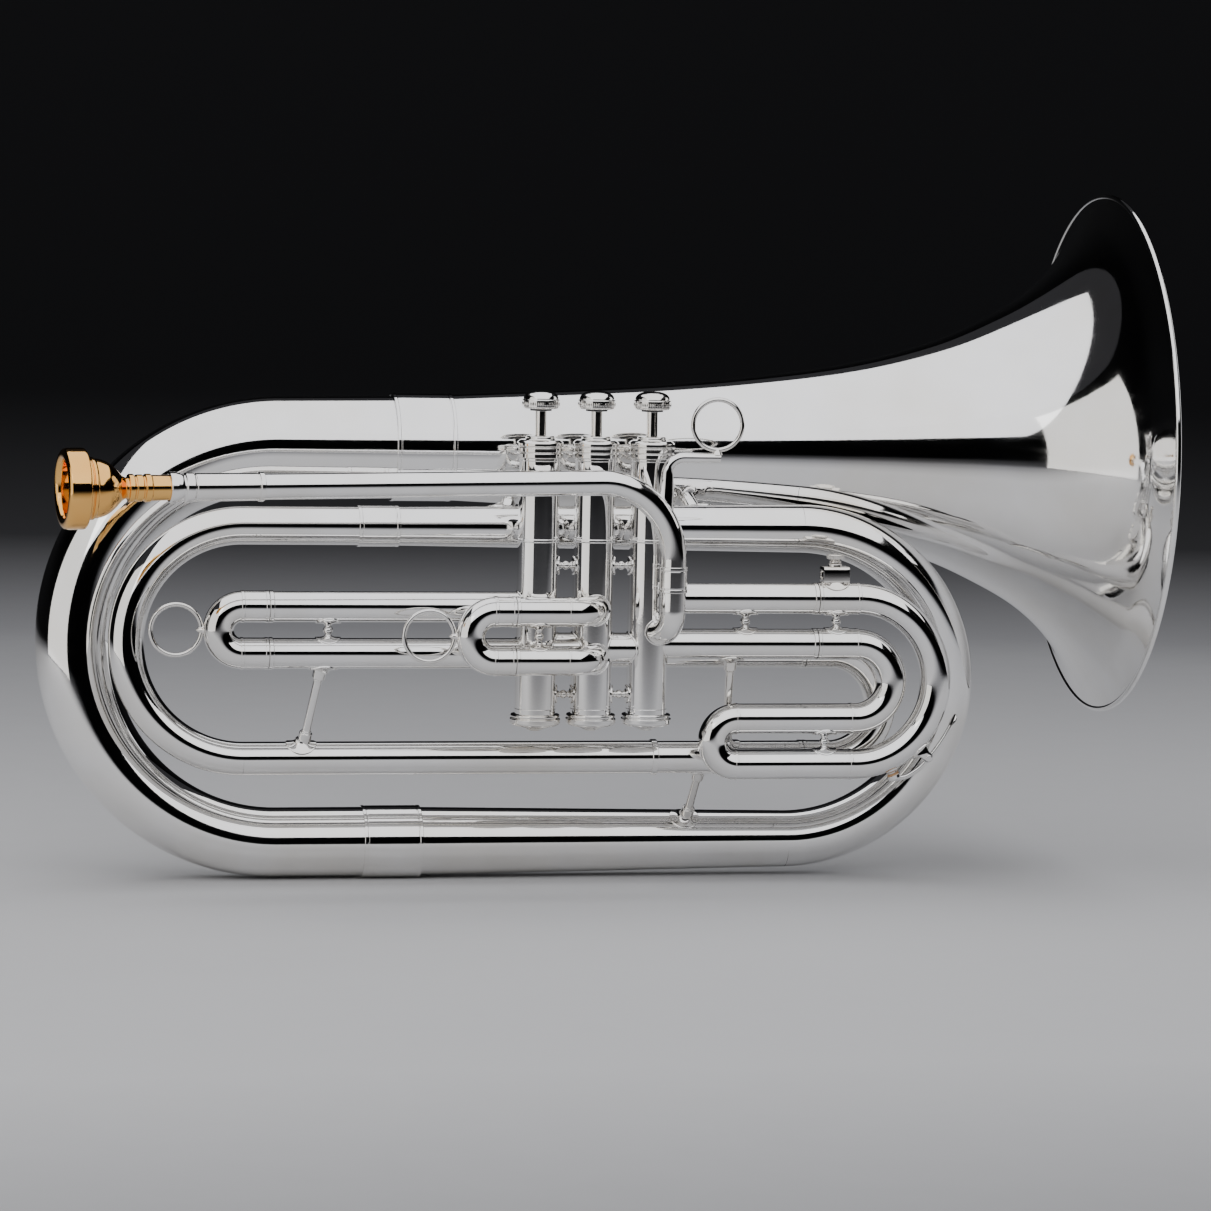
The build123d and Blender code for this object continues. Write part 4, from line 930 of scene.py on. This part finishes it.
shape = Shape()
outside = rounded_square(4.9, 4.1, 1.6)
hole = [(bore_r * math.cos(math.atan2(y, x)), bore_r * math.sin(math.atan2(y, x))) for x, y in outside]
half = 6.5


def socket_ring(points, inset, x):
    made = []
    for y, z in points:
        v = Vector((y, z))
        v = v * (1 - inset / v.length)
        made.append(Vector((lyre_x + x, v.x, lyre_z + v.y)))
    return made


shape.skin([socket_ring(outside, 0.5, -half), socket_ring(outside, 0.15, -half + 0.15),
            socket_ring(outside, 0, -half + 0.5), socket_ring(outside, 0, half - 0.5),
            socket_ring(outside, 0.15, half - 0.15), socket_ring(outside, 0.5, half),
            socket_ring(hole, -0.4, half), socket_ring(hole, 0, half - 0.4),
            socket_ring(hole, 0, -half + 0.4), socket_ring(hole, -0.4, -half)], loop=True)
shape.saddle((lyre_x, 0, SLIDE3_Z[0]), X, Z, SLIDE_R + 0.4, 7.4, 4.2, 1.2)
shape.lathe((lyre_x, 0, lyre_z), Z, soft([(3.7, 1.65), (3.7, 3.5), (5.2, 3.3), (5.55, 2.9), (5.55, 1.65)],
                                         0.3), seg=48)
shape.finish("lyre_socket_block", "slide_3", "silver_plate", silver_detail, "lyre_holder")

low, high = span("lyre_screw")
shape = Shape()
shape.lathe((lyre_x, 0, 0), Z, soft([
    (low.z, 0.05), (low.z, 1.2), (low.z + 0.4, 1.5), (lyre_z + 5.7, 1.5), (lyre_z + 5.8, 2.9),
    (lyre_z + 6.6, 2.9), (lyre_z + 7.0, 2.1), (high.z - 2.6, 2.1), (high.z - 2.3, 3.9), (high.z - 0.3, 3.9),
    (high.z, 3.5), (high.z - 0.25, 2.4), (high.z - 0.25, 0.05)], 0.3, closed=False), seg=72, closed=False)
rows = [(high.z - 2.2 + 1.8 * k / 9, 4.3) for k in range(10)]
shape.lathe((lyre_x, 0, 0), Z, [(high.z - 2.3, 3.5), *rows, (high.z - 0.3, 3.5)], seg=180,
            grip=(18, 0.4, high.z - 2.2, high.z - 0.4))
shape.finish("lyre_thumbscrew", "lyre_screw", "silver_plate", silver_detail, "lyre_screw")

BOW_CENTRE = Vector((SLIDE3_BEND_X, 0, (SLIDE3_Z[0] + SLIDE3_RETURN_Z[0]) / 2))
BOW_R = (SLIDE3_Z[0] - SLIDE3_RETURN_Z[0]) / 2


def by_bow(angle, radius):
    """A point around the third slide's outer bow."""
    a = math.radians(angle)
    return BOW_CENTRE + Vector((radius * math.cos(a), 0, radius * math.sin(a)))


def bow_matrix(angle, radius):
    """X along the bow, Y outward, Z across."""
    a = math.radians(angle)
    out = Vector((math.cos(a), 0, math.sin(a)))
    along = Vector((out.z, 0, -out.x))
    across = along.cross(out)
    m = Matrix((along, out, across)).transposed().to_4x4()
    m.translation = by_bow(angle, radius)
    return m


pivot_angle, cork_angle, tip_angle, pivot_r = -45.0, -66.0, -20.0, 52.6
shape = Shape()
ear = [(-3.4, -6.0), (3.4, -6.0), (2.3, -2.6), (1.9, 0.4), (1.3, 1.5), (0.0, 1.9), (-1.3, 1.5), (-1.9, 0.4),
       (-2.3, -2.6)]
for side in (-1, 1):
    shape.slab(ear, 1.2, bow_matrix(pivot_angle, pivot_r) @ Matrix.Translation((0, 0, side * 3.7)), 0.25)
way = by_bow(pivot_angle, 1) - by_bow(pivot_angle, 0)
tangent = bow_matrix(pivot_angle, 0).to_3x3() @ X
shape.saddle(by_bow(pivot_angle, BOW_R), tangent, way, SLIDE_R, 6.0, 3.4, 0.8)
shape.lathe(by_bow(pivot_angle, pivot_r), Y, soft([
    (-5.2, 0.05), (-5.2, 1.2), (-4.9, 1.5), (-4.35, 1.5), (-4.3, 0.9), (4.3, 0.9), (4.35, 1.5), (4.9, 1.5),
    (5.2, 1.2), (5.2, 0.05)], 0.2, closed=False), seg=40, closed=False)
nipple = by_bow(cork_angle, 1) - by_bow(cork_angle, 0)
shape.lathe(by_bow(cork_angle, 0), nipple, soft([(46.5, 1.4), (46.5, 3.6), (47.9, 3.2), (48.5, 2.4),
                                                 (49.4, 2.3), (49.4, 1.4)], 0.25), seg=40)
shape.finish("water_key_saddle_set", "slide_3", "silver_plate", silver_detail, "water_key_saddle")

shape = Shape()
shape.lathe(by_bow(cork_angle, 0), nipple, soft([(50.3, 2.95), (50.3, 3.4), (52.3, 3.3), (52.9, 2.2),
                                                 (53.1, 0.05), (51.0, 0.05), (50.7, 2.95)], 0.3), seg=56)
shape.lathe(by_bow(pivot_angle, pivot_r), Y, soft([(-2.9, 0.96), (-2.9, 1.9), (2.9, 1.9), (2.9, 0.96)], 0.2),
            seg=40)
arm = [by_bow(cork_angle, 52.6), by_bow(-60, 54.4), by_bow(-52, 54.6), by_bow(pivot_angle, 54.0),
       by_bow(-37, 53.6), by_bow(-30, 53.6), by_bow(tip_angle - 4, 53.7)]
points = []
for a, b in zip(arm, arm[1:]):
    points += [a.lerp(b, k / 8) for k in range(8)]
points.append(arm[-1])
for _ in range(6):
    points = [points[0], *[(a + b * 2 + c) / 4 for a, b, c in zip(points, points[1:], points[2:])],
              points[-1]]
shape.pipe(points, [1.15] * len(points), seg=28, flat=1.25)
spoon = [(-5.2 * math.cos(a), 3.1 * math.sin(a) * (1 + 0.12 * math.cos(a)))
         for a in (2 * math.pi * k / 40 for k in range(40))]
turn = bow_matrix(tip_angle - 3, 53.7) @ Matrix.Rotation(math.radians(90), 4, "X")
shape.slab(spoon, 1.3, turn, 0.4)
shape.finish("water_key_arm", "water_key", "silver_plate", silver_detail, "water_key_lever")


# ---------------------------------------------------------------- braces

def brace(shape, start, start_r, end, end_r, post_r, pad_r):
    """A post between two tubes along X, with a collar at each end and a soldered flange on each tube."""
    start, end = Vector(start), Vector(end)
    way = (end - start).normalized()
    length = (end - start).length
    shape.saddle(start, X, way, start_r, pad_r, post_r * 1.35, 2.0)
    shape.saddle(end, X, -way, end_r, pad_r, post_r * 1.35, 2.0)
    a, b = start_r + 0.6, length - end_r - 0.6
    collar = post_r * 1.55
    shape.lathe(start, way, soft([
        (a, 0.1), (a, collar), (a + 5.2, collar), (a + 5.5, post_r + 0.35), (a + 6.3, post_r + 0.35),
        (a + 6.5, post_r), (b - 6.5, post_r), (b - 6.3, post_r + 0.35), (b - 5.5, post_r + 0.35),
        (b - 5.2, collar), (b, collar), (b, 0.1)],
        0.35, closed=False), seg=56, closed=False)


shape = Shape()
casing_spools(shape)
brace(shape, (-130.2, 0, SLIDE1_Z[1]), SLIDE_R, on(LOWER, -138.6), LOWER_R, 2.05, 7.5)
brace(shape, (69, 0, SLIDE3_Z[1]), SLIDE_R, on(LOWER, 71), MAIN_R, 2.05, 7.0)
brace(shape, on(LOWER, 60), MAIN_R, on(BOTTOM, 56), 14.8, 2.05, 7.5)
brace(shape, on(MIDDLE, -40), 10.1, on(BELL, -25), 27.6, 2.6, 8.0)
brace(shape, on(MIDDLE, 60), 11.3, on(BELL, 45), 32.1, 2.6, 8.0)
baluster(shape, (-128.5, 0, SLIDE1_Z[1]), (-128.5, 0, SLIDE1_Z[0]), X, SLIDE_R, 6.2, 2.4)
baluster(shape, (-29.4, slide2_y, SLIDE2_Z[1]), (-29.4, slide2_y, SLIDE2_Z[0]), X, slide2_r, 5.8, 2.4)
baluster(shape, (75.6, 0, SLIDE3_Z[1]), (75.6, 0, SLIDE3_Z[0]), X, SLIDE_R, 6.2, 2.4)
shape.finish("brace_set", "body", "silver_plate", silver_detail, "body_braces")


# ---------------------------------------------------------------- floor, light and camera

floor_z = cad_low.z / SCALE


def studio_floor():
    """A round floor that curves up into a wall: pale around the object, with painted shade in front of it,
    behind it and further out, in place of the unlit studio.
    """
    flat_r, bend_r, wall_top = 4800, 1500, 4200
    shape = Shape()
    shape.lathe((0, 0, floor_z - 0.05), Z, [(0, 1.0)] + [(0, flat_r / 12 * k) for k in range(1, 13)]
                + [(bend_r - bend_r * math.cos(a), flat_r + bend_r * math.sin(a))
                   for a in (math.pi / 2 * k / 16 for k in range(1, 17))]
                + [(wall_top, flat_r + bend_r)], seg=128, closed=False)
    shape.faces.pop()
    mesh = bpy.data.meshes.new("studio_floor")
    mesh.from_pydata([v * SCALE for v in shape.verts], [], shape.faces)
    mesh.polygons.foreach_set("use_smooth", [True] * len(mesh.polygons))
    floor = bpy.data.objects.new("studio_floor", mesh)
    bpy.context.scene.collection.objects.link(floor)
    paint = Paint("floor_paint", Roughness=0.75)
    split = paint.tree.nodes.new("ShaderNodeSeparateXYZ")
    paint.link(paint.place, split, 0)
    reach = paint.tree.nodes.new("ShaderNodeVectorMath")
    reach.operation = "LENGTH"
    paint.link(paint.place, reach, 0)
    # Painted shade: the floor's colour darkens in front of the object, behind it and with distance from it,
    # standing in for light falling off into a dark studio.
    front = paint.span(split.outputs["Y"], 0.8, 0.0, -1.3, -0.45)
    painted_shade_behind = paint.span(split.outputs["Y"], 0.0, 1.0, 0.15, 3.2)
    far = paint.span(reach.outputs["Value"], 0.0, 1.0, 1.2, 4.0)
    speck = paint.span(paint.noise(40.0, 4.0), -0.006, 0.006)
    tone_with_painted_shade = paint.total(paint.total(front, painted_shade_behind), paint.total(far, speck))
    paint.colour(paint.ramp(tone_with_painted_shade, (0.0, (0.58, 0.58, 0.59)),
                            (0.4, (0.26, 0.26, 0.27)), (1.0, (0.03, 0.03, 0.033))))
    mesh.materials.append(paint.material)


def softbox(name, place, target, width, height, power, colour):
    light = bpy.data.lights.new(name, "AREA")
    light.shape, light.size, light.size_y = "RECTANGLE", width, height
    light.energy, light.color = power, colour
    holder = bpy.data.objects.new(name, light)
    holder.location = place
    holder.visible_camera = False
    holder.rotation_mode = "QUATERNION"
    holder.rotation_quaternion = (Vector(target) - Vector(place)).to_track_quat("-Z", "Y")
    bpy.context.scene.collection.objects.link(holder)


def studio_world():
    world = bpy.data.worlds.new("studio")
    bpy.context.scene.world = world
    world.use_nodes = True
    background = world.node_tree.nodes["Background"]
    background.inputs["Color"].default_value = (0.03, 0.03, 0.033, 1)
    background.inputs["Strength"].default_value = 1.0


studio_floor()
studio_world()
softbox("canopy", (0, -0.05, 1.75), (0, 0.67, -0.12), 3.4, 5.0, 82.0, (0.97, 0.975, 1.0))
softbox("left_card", (-1.12, -0.55, 0.36), (0, 0, 0.36), 1.25, 1.0, 4.6, (1.0, 0.985, 0.96))
softbox("right_card", (1.30, 0.30, 0.36), (0, 0, 0.36), 0.45, 1.0, 1.5, (0.97, 0.98, 1.0))

# The camera looks at the second valve from in front, a little from the left and from above.
aim, distance = Vector((6.27, 0, -10.40)), 2316.0
yaw, elevation, roll = math.radians(11.3), math.radians(5.3), math.radians(1.2)
level_reach = math.cos(elevation)
look = Vector((math.sin(yaw) * level_reach, math.cos(yaw) * level_reach, -math.sin(elevation)))
level = Vector((math.cos(yaw), -math.sin(yaw), 0))
raised = level.cross(look)
right = level * math.cos(roll) + raised * math.sin(roll)
up = raised * math.cos(roll) - level * math.sin(roll)
camera = bpy.data.objects.new("camera", bpy.data.cameras.new("camera"))
camera.data.lens, camera.data.sensor_width = 142.7, 36.0
camera.data.clip_end = 50.0
turn = Matrix((right, up, -look)).transposed().to_4x4()
turn.translation = (aim - look * distance) * SCALE
camera.matrix_world = turn
bpy.context.scene.collection.objects.link(camera)
bpy.context.scene.camera = camera
